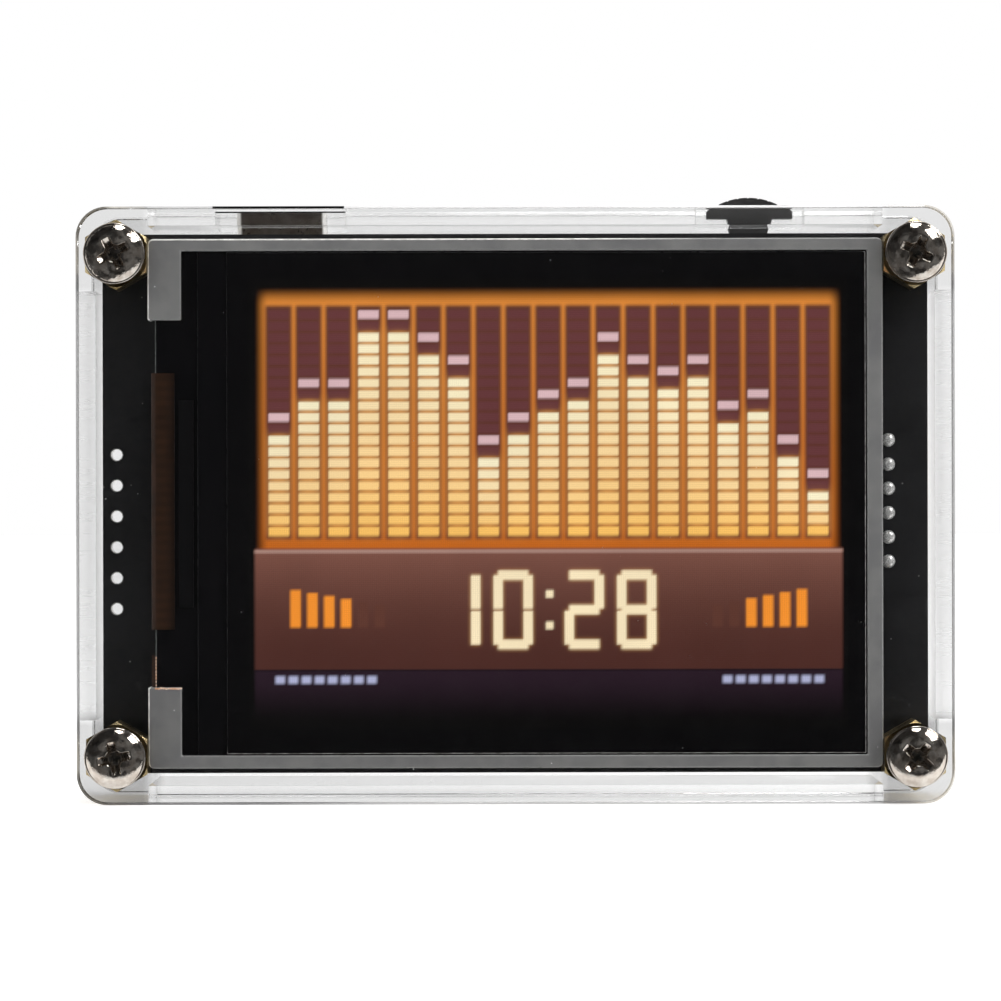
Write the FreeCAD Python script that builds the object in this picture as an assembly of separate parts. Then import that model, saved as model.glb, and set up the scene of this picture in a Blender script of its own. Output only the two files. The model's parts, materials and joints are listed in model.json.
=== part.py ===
import FreeCAD, Part
import math
import os

# Spectrum display clock: a 2.4 inch display on a black board between two clear plates.
# Lengths are in millimetres. X runs to the right, the front faces -Y, and +Z is up.
# The origin is the middle of the footprint, on the surface that the clock stands on.

os.makedirs("parts", exist_ok=True)

# Display module: the rest is built round its outer size
display_width = 60.1
display_height = 43.3
display_thickness = 2.5

# Clear case: two plates and four wall strips
plate_thickness = 2.0
plate_corner_radius = 2.5
plate_edge_bevel = 0.15
wall_thickness = 1.5
wall_end_gap = 0.1
screw_edge_x = 3.15
screw_edge_z = 3.85
screw_hole_radius = 1.35

# M2.5 pan head screws
thread_radius = 1.2
screw_grip = 3.0
screw_tip_bevel = 0.3
head_radius = 2.5
head_height = 1.7
head_rim = 0.55
recess_span = 2.8
recess_floor_span = 1.0
recess_arm_width = 0.62
recess_depth = 1.15
front_screw_turns = (28, 64, 12, 50)
rear_screw_turns = (5, 71, 40, 22)

# Hexagonal brass standoffs
standoff_across_flats = 5.0
standoff_end_bevel = 0.25
standoff_side_gap = 0.05
bore_radius = 1.25
bore_end_gap = 0.4
stud_grip = 3.2
rear_standoff_length = 8.0

# Circuit board
board_thickness = 1.6
board_corner_radius = 0.8
board_side_gap = 0.25
board_margin = 0.55
board_edge_gap = 0.65
board_rise = 0.15

# Open plated holes along the left edge
header_count = 6
header_pitch = 2.54
header_inset = 1.15
header_rise = -2.15
header_drill_radius = 0.55
header_liner = 0.08

# Six-pin connector along the right edge
connector_count = 6
connector_pitch = 2.0
connector_inset = 3.25
connector_rise = 0.15
connector_inner_side = 1.7
connector_outer_side = 2.8
connector_end = 2.0
connector_height = 6.0
connector_floor = 1.3
connector_wall = 0.6
connector_key_width = 1.2
pin_size = 0.5
pin_reach = 5.0
pin_tail = 0.2
pin_drill_radius = 0.45
joint_radius = 0.56
joint_height = 0.42

# Inside the display module, and the foam tape that it sits on
display_front_gap = 0.6
foam_thickness = 0.9
foam_strip_width = 8.0
foam_strip_inset = 2.65
foam_flex_gap = 0.3
bezel_sheet = 0.25
bezel_top_lip = 1.0
bezel_bottom_lip = 1.07
bezel_right_lip = 1.3
bezel_tab_width = 2.75
bezel_tab_height = 6.65
bezel_corner_radius = 0.5
glass_thickness = 0.5
glass_side_gap = 0.2
glass_ledge = 3.5
glass_left_inset = 0.55
polarizer_thickness = 0.2
polarizer_left_inset = 6.45
polarizer_gap = 0.12
driver_width = 1.2
driver_length = 17.0
driver_thickness = 0.3

# Amber lead of the display
flex_height = 21.0
flex_rise = 0.2
flex_thickness = 0.12
flex_bond = 1.6
flex_clearance = 0.2
flex_return = 6.0
flex_joint_count = 18
flex_joint_pitch = 1.0
flex_joint_width = 0.5
flex_joint_length = 1.5
flex_joint_height = 0.3

# Backlight behind the glass
backlight_left_rim = 3.2
backlight_rim = 1.0
backlight_led_room = 1.3
backlight_gap = 0.1
diffuser_thickness = 0.2
guide_thickness = 0.85
reflector_thickness = 0.15
led_count = 6
led_pitch = 6.4
led_height = 3.0
led_width = 0.9
led_thickness = 0.6

# Micro USB inlet at the top edge
usb_inset = 14.75
usb_width = 7.4
usb_far_width = 5.8
usb_thickness = 2.6
usb_shoulder = 1.3
usb_sheet = 0.25
usb_corner_radius = 0.45
usb_length = 5.6
usb_top_inset = 0.1
usb_slot_width = 10.7
usb_slot_depth = 6.4
usb_back_block = 1.2
usb_tongue_width = 4.6
usb_tongue_thickness = 0.6
usb_tongue_length = 3.3
usb_contact_count = 5
usb_contact_pitch = 0.65
usb_contact_width = 0.35
usb_contact_thickness = 0.1
usb_tail_length = 0.9
usb_foot_width = 0.6
usb_foot_length = 1.3
usb_foot_thickness = 0.25

# Three-way lever switch at the top edge
lever_inset = 14.6
lever_pivot_inset = 2.4
lever_proud = 1.15
lever_arm_drop = 0.75
lever_thickness = 1.3
lever_head_half_width = 3.55
lever_neck_half_width = 1.875
lever_foot_half_width = 0.83
lever_hub_radius = 1.3
lever_tail_half_width = 0.4
lever_tail_gap = 0.45
lever_rib_count = 9
lever_rib_depth = 0.08
lever_rib_half_width = 0.14
lever_rock_angle = 10.0
lever_push_travel = 0.4
lever_slot_side_gap = 0.25
lever_slot_face_gap = 0.75
switch_half_width = 5.0
switch_wall = 0.6
switch_floor = 0.5
switch_top_inset = 0.1
switch_height = 6.0
switch_cover_sheet = 0.2
switch_gap = 0.1
switch_lid_gap = 0.15
carrier_plate = 0.35
carrier_rail = 0.5
carrier_height = 4.0
carrier_stop_gap = 0.12
switch_pin_radius = 0.5
switch_pin_clearance = 0.05
dome_radius = 0.9
dome_height = 0.28
dome_sheet = 0.08
spring_wire_radius = 0.1
spring_half_width = 0.95
spring_leg = 0.75
terminal_width = 0.6
terminal_length = 0.9
terminal_thickness = 0.2
terminal_pitch = 2.5
terminal_count = 3
peg_radius = 0.45
peg_length = 1.1
peg_offset = 3.6
peg_hole_clearance = 0.05

# Parts on the back of the board: how far in from the board's edges, or from its middle, then sizes
microcontroller_shift = (-5.0, 4.5)
microcontroller_side = 7.0
microcontroller_thickness = 1.4
microcontroller_legs_per_side = 12
microcontroller_leg_pitch = 0.5
microcontroller_leg_width = 0.22
microcontroller_leg_reach = 1.0
memory_chip_shift = (-12.0, -3.0)
clock_chip_shift = 5.5
clock_chip_rise = 9.2
small_chip_length = 4.9
small_chip_width = 3.9
small_chip_thickness = 1.45
small_chip_legs_per_side = 4
small_chip_leg_pitch = 1.27
small_chip_leg_width = 0.42
small_chip_leg_reach = 1.05
leg_thickness = 0.18
leg_shoulder_share = 0.3
leg_foot_share = 0.45
regulator_inset = (17.0, 10.2)
regulator_length = 6.5
regulator_width = 3.5
regulator_thickness = 1.6
regulator_leg_pitch = 2.3
regulator_leg_width = 0.7
regulator_tab_width = 3.0
regulator_leg_reach = 1.7
main_crystal_drop = 7.7
main_crystal_length = 10.4
main_crystal_width = 3.8
main_crystal_height = 3.6
main_crystal_flange = 0.2
main_crystal_round = 0.4
main_crystal_flange_height = 0.4
crystal_base_length = 11.6
crystal_base_width = 4.9
crystal_base_height = 0.7
clock_crystal_shift = -10.0
clock_crystal_radius = 1.0
clock_crystal_length = 6.0
clock_crystal_lead_radius = 0.15
clock_crystal_lead_length = 1.6
clock_crystal_lead_pitch = 0.7
coin_cell_shift = (13.5, 0.5)
coin_cell_radius = 6.25
coin_cell_thickness = 2.0
coin_cell_edge = 0.25
coin_clip_width = 5.0
coin_clip_sheet = 0.3
coin_clip_gap = 0.05
coin_clip_foot = 1.6
microphone_inset = (8.5, 9.7)
microphone_radius = 4.85
microphone_height = 4.5
microphone_edge = 0.4
felt_radius = 3.9
felt_thickness = 0.4
capacitor_inset = (7.0, 10.2)
capacitor_spacing = 7.8
capacitor_count = 2
capacitor_radius = 3.15
capacitor_height = 5.4
capacitor_groove_radius = 0.3
capacitor_groove_rise = 1.6
capacitor_base_side = 6.6
capacitor_base_height = 0.9
capacitor_base_corner = 1.2
chip_part_length = 1.6
chip_part_width = 0.8
chip_part_terminal = 0.3
ceramic_height = 0.8
resistor_height = 0.45
ceramic_row_shift = (-10.0, -3.4)
ceramic_row_step = 2.0
ceramic_row_count = 6
decoupler_column_shift = (2.2, 7.5)
decoupler_column_step = -1.9
decoupler_column_count = 5
resistor_row_shift = (-13.0, -7.0)
resistor_row_step = 2.2
resistor_row_count = 9
resistor_column_shift = (24.0, 9.5)
resistor_column_step = -2.3
resistor_column_count = 4

# Places worked out from the sizes above
screw_span_x = display_width + standoff_across_flats + 2 * standoff_side_gap
case_width = screw_span_x + 2 * screw_edge_x
board_width = case_width - 2 * (wall_thickness + board_side_gap)
board_height = display_height + 2 * board_margin
case_height = board_height + 2 * (board_edge_gap + wall_thickness)
screw_span_z = case_height - 2 * screw_edge_z
screw_length = plate_thickness + screw_grip
front_standoff_length = display_front_gap + display_thickness + foam_thickness
inner_depth = front_standoff_length + board_thickness + rear_standoff_length
case_depth = inner_depth + 2 * plate_thickness
front_face = -case_depth / 2
front_inside = front_face + plate_thickness
back_inside = case_depth / 2 - plate_thickness
back_face = case_depth / 2
board_front = front_inside + front_standoff_length
board_back = board_front + board_thickness
case_mid = case_height / 2
board_mid = case_mid + board_rise
board_top = board_mid + board_height / 2
board_bottom = board_mid - board_height / 2
board_left = -board_width / 2
board_right = board_width / 2
usb_x = board_left + usb_inset
lever_x = board_right - lever_inset
screw_places = (
    (-screw_span_x / 2, case_mid + screw_span_z / 2),
    (screw_span_x / 2, case_mid + screw_span_z / 2),
    (-screw_span_x / 2, case_mid - screw_span_z / 2),
    (screw_span_x / 2, case_mid - screw_span_z / 2),
)
standoff_across_corners = standoff_across_flats / math.cos(math.radians(30))

# Depths inside the display module, from its back on the foam to its front
display_back = board_front - foam_thickness
display_front = display_back - display_thickness
display_left = -display_width / 2
display_right = display_width / 2
display_top = board_mid + display_height / 2
display_bottom = board_mid - display_height / 2
glass_front = display_front + bezel_sheet
rear_glass_front = glass_front + glass_thickness
backlight_front = rear_glass_front + glass_thickness
glass_left = display_left + glass_left_inset
glass_right = display_right - bezel_sheet - glass_side_gap
glass_top = display_top - bezel_sheet - glass_side_gap
glass_bottom = display_bottom + bezel_sheet + glass_side_gap
flex_outer = glass_left - flex_clearance - flex_thickness
flex_end = flex_outer + flex_return

# Depths inside the lever switch, from the board outwards
switch_floor_back = board_back + switch_floor
carrier_front = switch_floor_back + switch_gap
carrier_back = carrier_front + carrier_plate
lever_front = carrier_back + switch_gap
lever_back = lever_front + lever_thickness
switch_cover_front = lever_back + switch_lid_gap
switch_top = board_top - switch_top_inset
switch_bottom = switch_top - switch_height
lever_pivot_z = board_top - lever_pivot_inset
lever_head_radius = case_height + lever_proud - lever_pivot_z
lever_arm_rise = case_height - lever_arm_drop - lever_pivot_z
carrier_bottom = switch_bottom + switch_wall + dome_height + lever_push_travel + carrier_stop_gap
lever_tail_length = lever_pivot_z - carrier_bottom - 2 * spring_wire_radius - lever_tail_gap

# Where the parts on the back of the board sit, as (x, z)
microcontroller_place = (microcontroller_shift[0], board_mid + microcontroller_shift[1])
memory_chip_place = (microcontroller_place[0] + memory_chip_shift[0],
                     microcontroller_place[1] + memory_chip_shift[1])
main_crystal_place = (microcontroller_place[0], board_top - main_crystal_drop)
clock_chip_place = (clock_chip_shift, board_bottom + clock_chip_rise)
clock_crystal_place = (clock_chip_place[0] + clock_crystal_shift, clock_chip_place[1])
regulator_place = (board_left + regulator_inset[0], board_top - regulator_inset[1])
coin_cell_place = (coin_cell_shift[0], board_mid + coin_cell_shift[1])
microphone_place = (board_left + microphone_inset[0], board_bottom + microphone_inset[1])


def vec(x, y, z):
    return FreeCAD.Vector(x, y, z)


def save(name, *solids):
    """Write one node: a single solid, or a group of separate ones."""
    shape = solids[0] if len(solids) == 1 else Part.makeCompound(list(solids))
    shape.exportStep("parts/" + name + ".step")


def block(x0, x1, y0, y1, z0, z1):
    """Box between two opposite corners."""
    return Part.makeBox(x1 - x0, y1 - y0, z1 - z0, vec(x0, y0, z0))


def slab(x, z, width, height, y0, y1):
    """Box centred on x and z, from depth y0 to depth y1."""
    return block(x - width / 2, x + width / 2, y0, y1, z - height / 2, z + height / 2)


def rod(x, z, radius, y0, y1):
    """Round bar along Y."""
    return Part.makeCylinder(radius, y1 - y0, vec(x, y0, z), vec(0, 1, 0))


def prism(points, y0, y1):
    """Outline of (x, z) points, pushed from depth y0 to depth y1."""
    corners = [vec(x, y0, z) for x, z in points]
    wire = Part.makePolygon(corners + corners[:1])
    return Part.Face(wire).extrude(vec(0, y1 - y0, 0))


def column(points, z0, z1):
    """Outline of (x, y) points, raised from height z0 to height z1."""
    corners = [vec(x, y, z0) for x, y in points]
    wire = Part.makePolygon(corners + corners[:1])
    return Part.Face(wire).extrude(vec(0, 0, z1 - z0))


def edges_along(shape, axis):
    """Straight edges of a shape that run along one axis: 0 is X, 1 is Y, 2 is Z."""
    found = []
    for edge in shape.Edges:
        ends = [vertex.Point for vertex in edge.Vertexes]
        if len(ends) != 2:
            continue
        run = ends[1] - ends[0]
        if abs(abs(run[axis]) - run.Length) < 1e-6 and run.Length > 1e-6:
            found.append(edge)
    return found


def turned(profile):
    """Solid of revolution about the Y axis, from a closed list of edges in the XY plane."""
    return Part.Face(Part.Wire(profile)).revolve(vec(0, 0, 0), vec(0, 1, 0), 360)


def line(start, end):
    return Part.LineSegment(vec(*start, 0), vec(*end, 0)).toShape()


def chain(points):
    """Straight edges from point to point, each point an (x, y) pair."""
    return [line(start, end) for start, end in zip(points, points[1:])]


def at_each(solid, places):
    """Copies of a solid built at the origin, one at each (x, z) place."""
    return [solid.translated(vec(x, 0, z)) for x, z in places]


# Clear case

def case_plate(y0, y1):
    """Rounded plate with bevelled edges and the four screw holes."""
    plate = block(-case_width / 2, case_width / 2, y0, y1, 0, case_height)
    plate = plate.makeFillet(plate_corner_radius, edges_along(plate, 1))
    rims = [edge for edge in plate.Edges if edge.BoundBox.YLength < 1e-6]
    plate = plate.makeChamfer(plate_edge_bevel, rims)
    for x, z in screw_places:
        plate = plate.cut(rod(x, z, screw_hole_radius, y0, y1))
    return plate


def level_wall(z0):
    """Strip above or below the board, between the standoffs."""
    half = (screw_span_x - standoff_across_flats) / 2 - wall_end_gap
    return block(-half, half, front_inside, back_inside, z0, z0 + wall_thickness)


def side_wall(x0):
    """Strip beside the board, between the standoffs."""
    half = (screw_span_z - standoff_across_corners) / 2 - wall_end_gap
    return block(x0, x0 + wall_thickness, front_inside, back_inside, case_mid - half, case_mid + half)


def top_wall():
    """Upper strip with the slots for the USB plug and for the lever."""
    bottom = case_height - wall_thickness
    wall = level_wall(bottom)
    usb_mid = board_back + usb_thickness / 2
    usb_slot = block(usb_x - usb_slot_width / 2, usb_x + usb_slot_width / 2,
                     usb_mid - usb_slot_depth / 2, usb_mid + usb_slot_depth / 2, bottom, case_height)
    half = lever_sweep_half_width() + lever_slot_side_gap
    lever_slot = block(lever_x - half, lever_x + half,
                       lever_front - lever_slot_face_gap, lever_back + lever_slot_face_gap,
                       bottom, case_height)
    return wall.cut(usb_slot).cut(lever_slot)


def lever_sweep_half_width():
    """Furthest that the lever's head reaches sideways when it is rocked."""
    corner_angle = math.degrees(math.asin(lever_head_half_width / lever_head_radius))
    return lever_head_radius * math.sin(math.radians(corner_angle + lever_rock_angle))


# Screws and standoffs

def pan_screw(turn):
    """Pan head screw on the Y axis, head towards -Y, with its cross turned by some degrees."""
    dome = head_height - head_rim
    ball = (head_radius ** 2 + dome ** 2) / (2 * dome)
    half_way = head_radius / 2
    middle = -head_rim - dome + ball - math.sqrt(ball ** 2 - half_way ** 2)
    crown = Part.Arc(vec(0, -head_height, 0), vec(half_way, middle, 0),
                     vec(head_radius, -head_rim, 0)).toShape()
    rest = chain([(head_radius, -head_rim), (head_radius, 0), (thread_radius, 0),
                  (thread_radius, screw_length - screw_tip_bevel),
                  (thread_radius - screw_tip_bevel, screw_length), (0, screw_length),
                  (0, -head_height)])
    screw = turned([crown] + rest)
    floor = recess_depth - head_height
    outline = [(-recess_span / 2, -head_height), (recess_span / 2, -head_height),
               (recess_floor_span / 2, floor), (-recess_floor_span / 2, floor)]
    arm = column(outline, -recess_arm_width / 2, recess_arm_width / 2)
    for angle in (turn, turn + 90):
        screw = screw.cut(arm.rotated(vec(0, 0, 0), vec(0, 1, 0), angle))
    return screw


def screws(turns, face, facing):
    """Four screws with their heads on one face; facing is the turn about Z that aims them."""
    placed = []
    for (x, z), turn in zip(screw_places, turns):
        screw = pan_screw(turn).rotated(vec(0, 0, 0), vec(0, 0, 1), facing)
        placed.append(screw.translated(vec(x, face, z)))
    return placed


def hex_bar(y0, y1):
    """Hexagonal bar on the Y axis with a corner on top and bevelled ends."""
    corner = standoff_across_corners / 2
    points = []
    for step in range(6):
        angle = math.radians(90 + 60 * step)
        points.append((corner * math.cos(angle), corner * math.sin(angle)))
    limit = turned(chain([(0, y0), (corner - standoff_end_bevel, y0), (corner, y0 + standoff_end_bevel),
                          (corner, y1 - standoff_end_bevel), (corner - standoff_end_bevel, y1),
                          (0, y1), (0, y0)]))
    return prism(points, y0, y1).common(limit)


def front_standoff():
    """Standoff between the front plate and the board, with a stud through the board."""
    bar = hex_bar(front_inside, board_front)
    bar = bar.fuse(rod(0, 0, thread_radius, board_front, board_back + stud_grip))
    return bar.cut(rod(0, 0, bore_radius, front_inside, front_inside + screw_grip + bore_end_gap))


def rear_standoff():
    """Standoff between the board and the back plate, threaded right through."""
    return hex_bar(board_back, back_inside).cut(rod(0, 0, bore_radius, board_back, back_inside))


# Circuit board and its through-hole parts

def header_places():
    middle = case_mid + header_rise
    first = middle - header_pitch * (header_count - 1) / 2
    x = board_left + header_inset
    return [(x, first + header_pitch * step) for step in range(header_count)]


def connector_places():
    middle = board_mid + connector_rise
    first = middle - connector_pitch * (connector_count - 1) / 2
    x = board_right - connector_inset
    return [(x, first + connector_pitch * step) for step in range(connector_count)]


def peg_places():
    z = (switch_top + switch_bottom) / 2
    return [(lever_x - peg_offset, z), (lever_x + peg_offset, z)]


def circuit_board():
    """Board with open-sided notches for the studs and holes for the through-hole parts."""
    board = slab(0, board_mid, board_width, board_height, board_front, board_back)
    board = board.makeFillet(board_corner_radius, edges_along(board, 1))
    for x, z in screw_places:
        notch = rod(x, z, screw_hole_radius, board_front, board_back)
        outer = math.copysign(board_width / 2, x)
        channel = block(min(x, outer), max(x, outer), board_front, board_back,
                        z - screw_hole_radius, z + screw_hole_radius)
        board = board.cut(notch).cut(channel)
    drills = [(place, header_drill_radius) for place in header_places()]
    drills += [(place, pin_drill_radius) for place in connector_places()]
    drills += [(place, peg_radius + peg_hole_clearance) for place in peg_places()]
    for (x, z), radius in drills:
        board = board.cut(rod(x, z, radius, board_front, board_back))
    return board


def header_liner_tube():
    tube = rod(0, 0, header_drill_radius, board_front, board_back)
    return tube.cut(rod(0, 0, header_drill_radius - header_liner, board_front, board_back))


def connector_body():
    """Socket of the six-pin connector, open towards the back plate."""
    places = connector_places()
    x = places[0][0]
    z0 = places[0][1] - connector_end
    z1 = places[-1][1] + connector_end
    x0 = x - connector_inner_side
    x1 = x + connector_outer_side
    top = board_back + connector_height
    inside = board_back + connector_floor
    body = block(x0, x1, board_back, top, z0, z1)
    body = body.cut(block(x0 + connector_wall, x1 - connector_wall, inside, top,
                          z0 + connector_wall, z1 - connector_wall))
    for z in (places[1][1], places[-2][1]):
        body = body.cut(block(x0, x0 + connector_wall, inside, top,
                              z - connector_key_width / 2, z + connector_key_width / 2))
    for x, z in places:
        body = body.cut(slab(x, z, pin_size, pin_size, board_back, inside))
    return body


def connector_pin():
    return slab(0, 0, pin_size, pin_size, board_front - pin_tail, board_back + pin_reach)


def connector_joint():
    """Solder in the hole and domed over the pin's tail, on the board's front."""
    ball = (joint_radius ** 2 + joint_height ** 2) / (2 * joint_height)
    tip = board_front - joint_height
    half_way = joint_radius / 2
    middle = tip + ball - math.sqrt(ball ** 2 - half_way ** 2)
    crown = Part.Arc(vec(0, tip, 0), vec(half_way, middle, 0),
                     vec(joint_radius, board_front, 0)).toShape()
    joint = turned([crown] + chain([(joint_radius, board_front), (pin_drill_radius, board_front),
                                    (pin_drill_radius, board_back), (0, board_back), (0, tip)]))
    return joint.cut(connector_pin())


# Display module

def display_bezel():
    """Bent steel frame: a lip on three sides, two tabs on the left, and a skirt behind them."""
    frame = block(display_left, display_right, display_front, display_back, display_bottom, display_top)
    frame = frame.makeFillet(bezel_corner_radius, edges_along(frame, 1))
    hollow = block(display_left + bezel_sheet, display_right - bezel_sheet, glass_front, display_back,
                   display_bottom + bezel_sheet, display_top - bezel_sheet)
    window = block(display_left + bezel_tab_width, display_right - bezel_right_lip,
                   display_front, glass_front,
                   display_bottom + bezel_bottom_lip, display_top - bezel_top_lip)
    left_gap = block(display_left, display_left + bezel_tab_width, display_front, display_back,
                     display_bottom + bezel_tab_height, display_top - bezel_tab_height)
    return frame.cut(hollow).cut(window).cut(left_gap)


def rear_glass():
    return block(glass_left, glass_right, rear_glass_front, backlight_front, glass_bottom, glass_top)


def front_glass():
    """Shorter than the rear sheet, which leaves a ledge for the driver and the lead."""
    return block(glass_left + glass_ledge, glass_right, glass_front, rear_glass_front,
                 glass_bottom, glass_top)


def front_polarizer():
    """Film on the front glass, inside the bezel's window."""
    return block(display_left + polarizer_left_inset, display_right - bezel_right_lip - polarizer_gap,
                 glass_front - polarizer_thickness, glass_front,
                 display_bottom + bezel_bottom_lip + polarizer_gap,
                 display_top - bezel_top_lip - polarizer_gap)


def driver_chip():
    x1 = glass_left + glass_ledge - (glass_ledge - flex_bond - driver_width) / 2
    return block(x1 - driver_width, x1, rear_glass_front - driver_thickness, rear_glass_front,
                 board_mid - driver_length / 2, board_mid + driver_length / 2)


def display_flex():
    """Lead from the glass ledge, round the left edge, and back along the board."""
    z0 = board_mid + flex_rise - flex_height / 2
    z1 = z0 + flex_height
    front = rear_glass_front - flex_thickness
    flex_inner = flex_outer + flex_thickness
    lead = block(flex_outer, flex_end, front, board_front, z0, z1)
    bends = [edge for edge in edges_along(lead, 2) if edge.Vertexes[0].X < flex_outer + 1e-6]
    lead = lead.makeFillet(flex_clearance + flex_thickness, bends)
    inside = block(flex_inner, flex_end, rear_glass_front, board_front - flex_thickness, z0, z1)
    bends = [edge for edge in edges_along(inside, 2) if edge.Vertexes[0].X < flex_inner + 1e-6]
    inside = inside.makeFillet(flex_clearance, bends)
    past_bond = block(glass_left + flex_bond, flex_end, front, rear_glass_front, z0, z1)
    return lead.cut(inside).cut(past_bond)


def flex_joints():
    """Row of solder joints where the lead meets the board."""
    middle = board_mid + flex_rise
    joints = []
    for step in range(flex_joint_count):
        z = middle + (step - (flex_joint_count - 1) / 2) * flex_joint_pitch
        joints.append(block(flex_end, flex_end + flex_joint_length,
                            board_front - flex_joint_height, board_front,
                            z - flex_joint_width / 2, z + flex_joint_width / 2))
    return joints


def backlight_pocket():
    """Room inside the backlight frame: its left, right, bottom and top."""
    return (glass_left + backlight_left_rim, glass_right - backlight_rim,
            glass_bottom + backlight_rim, glass_top - backlight_rim)


def backlight_frame():
    left, right, bottom, top = backlight_pocket()
    frame = block(glass_left, glass_right, backlight_front, display_back, glass_bottom, glass_top)
    return frame.cut(block(left, right, backlight_front, display_back, bottom, top))


def backlight_sheet(y0, y1, from_leds):
    """One layer of the backlight; the layers that reach the row of diodes start at the pocket's side."""
    left, right, bottom, top = backlight_pocket()
    start = left + backlight_gap if from_leds else left + backlight_led_room
    return block(start, right - backlight_gap, y0, y1, bottom + backlight_gap, top - backlight_gap)


def backlight_diode():
    left = backlight_pocket()[0]
    x0 = left + backlight_led_room - led_width - backlight_gap
    y0 = backlight_front + diffuser_thickness
    return block(x0, x0 + led_width, y0, y0 + led_thickness, -led_height / 2, led_height / 2)


def foam_strip():
    height = display_height - 2 * foam_strip_inset
    return slab(0, 0, foam_strip_width, height, display_back, board_front)


# Micro USB inlet

def usb_outline(inset):
    """Cross-section of the shell: wide on the board, narrower away from it."""
    wide = usb_width / 2 - inset
    far = usb_far_width / 2 - inset
    return [(usb_x - wide, board_back + inset), (usb_x + wide, board_back + inset),
            (usb_x + wide, board_back + usb_shoulder), (usb_x + far, board_back + usb_thickness - inset),
            (usb_x - far, board_back + usb_thickness - inset), (usb_x - wide, board_back + usb_shoulder)]


def usb_bar(inset, z0, z1):
    """Bar with the shell's cross-section, drawn in by an inset, and its folded corners rounded."""
    bar = column(usb_outline(inset), z0, z1)
    return bar.makeFillet(usb_corner_radius - inset, edges_along(bar, 2))


def usb_ends():
    """Lower end and mouth of the shell."""
    mouth = case_height - usb_top_inset
    return mouth - usb_length, mouth


def usb_shell():
    """Folded metal shell with four solder feet, open at the mouth."""
    low, mouth = usb_ends()
    shell = usb_bar(0, low, mouth).cut(usb_bar(usb_sheet, low, mouth))
    foot_span = usb_corner_radius + usb_foot_width
    for side in (-1, 1):
        for z in (low, board_top - usb_foot_length):
            x = usb_x + side * (usb_width / 2 - usb_corner_radius + foot_span / 2)
            shell = shell.fuse(slab(x, z + usb_foot_length / 2, foot_span, usb_foot_length,
                                    board_back, board_back + usb_foot_thickness))
    return shell


def usb_tongue():
    """Plastic block at the shell's rear with the tongue that carries the contacts."""
    low = usb_ends()[0]
    block_top = low + usb_back_block
    back = usb_bar(usb_sheet, low, block_top)
    mid = board_back + usb_thickness / 2
    tongue = block(usb_x - usb_tongue_width / 2, usb_x + usb_tongue_width / 2,
                   mid, mid + usb_tongue_thickness, block_top, block_top + usb_tongue_length)
    return back.fuse(tongue)


def usb_contacts():
    """Five strips under the tongue, and their tails on the board behind the shell."""
    low = usb_ends()[0]
    under = board_back + usb_thickness / 2
    strips = []
    for step in range(usb_contact_count):
        x = usb_x + (step - (usb_contact_count - 1) / 2) * usb_contact_pitch
        x0 = x - usb_contact_width / 2
        x1 = x + usb_contact_width / 2
        strips.append(block(x0, x1, under - usb_contact_thickness, under,
                            low + usb_back_block, low + usb_back_block + usb_tongue_length))
        strips.append(block(x0, x1, board_back, board_back + usb_contact_thickness,
                            low - usb_tail_length, low))
    return strips


# Three-way lever switch

def switch_base():
    """Plastic tray, open at the top, with two pegs in the board."""
    base = block(lever_x - switch_half_width, lever_x + switch_half_width,
                 board_back, switch_cover_front, switch_bottom, switch_top)
    inside = switch_half_width - switch_wall
    base = base.cut(block(lever_x - inside, lever_x + inside, switch_floor_back, switch_cover_front,
                          switch_bottom + switch_wall, switch_top))
    for x, z in peg_places():
        base = base.fuse(rod(x, z, peg_radius, board_back - peg_length, board_back))
    return base


def switch_cover():
    """Steel lid with a flap down each side of the tray."""
    outer = switch_half_width + switch_cover_sheet
    lid = block(lever_x - outer, lever_x + outer, switch_cover_front,
                switch_cover_front + switch_cover_sheet, switch_bottom, switch_top)
    for x0 in (lever_x - outer, lever_x + switch_half_width):
        flap = block(x0, x0 + switch_cover_sheet, board_back, switch_cover_front,
                     switch_bottom + switch_wall, switch_top - switch_wall)
        lid = lid.fuse(flap)
    return lid


def switch_carrier():
    """Sliding plate with a guide rail at each side; the pivot pin stands in it."""
    half = switch_half_width - switch_wall - switch_gap
    top = carrier_bottom + carrier_height
    carrier = block(lever_x - half, lever_x + half, carrier_front, carrier_back, carrier_bottom, top)
    for x0 in (lever_x - half, lever_x + half - carrier_rail):
        rail = block(x0, x0 + carrier_rail, carrier_back, lever_back, carrier_bottom, top)
        carrier = carrier.fuse(rail)
    return carrier.cut(rod(lever_x, lever_pivot_z, switch_pin_radius, carrier_front, carrier_back))


def lever_pin():
    return rod(lever_x, lever_pivot_z, switch_pin_radius, carrier_front, lever_back)


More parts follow.
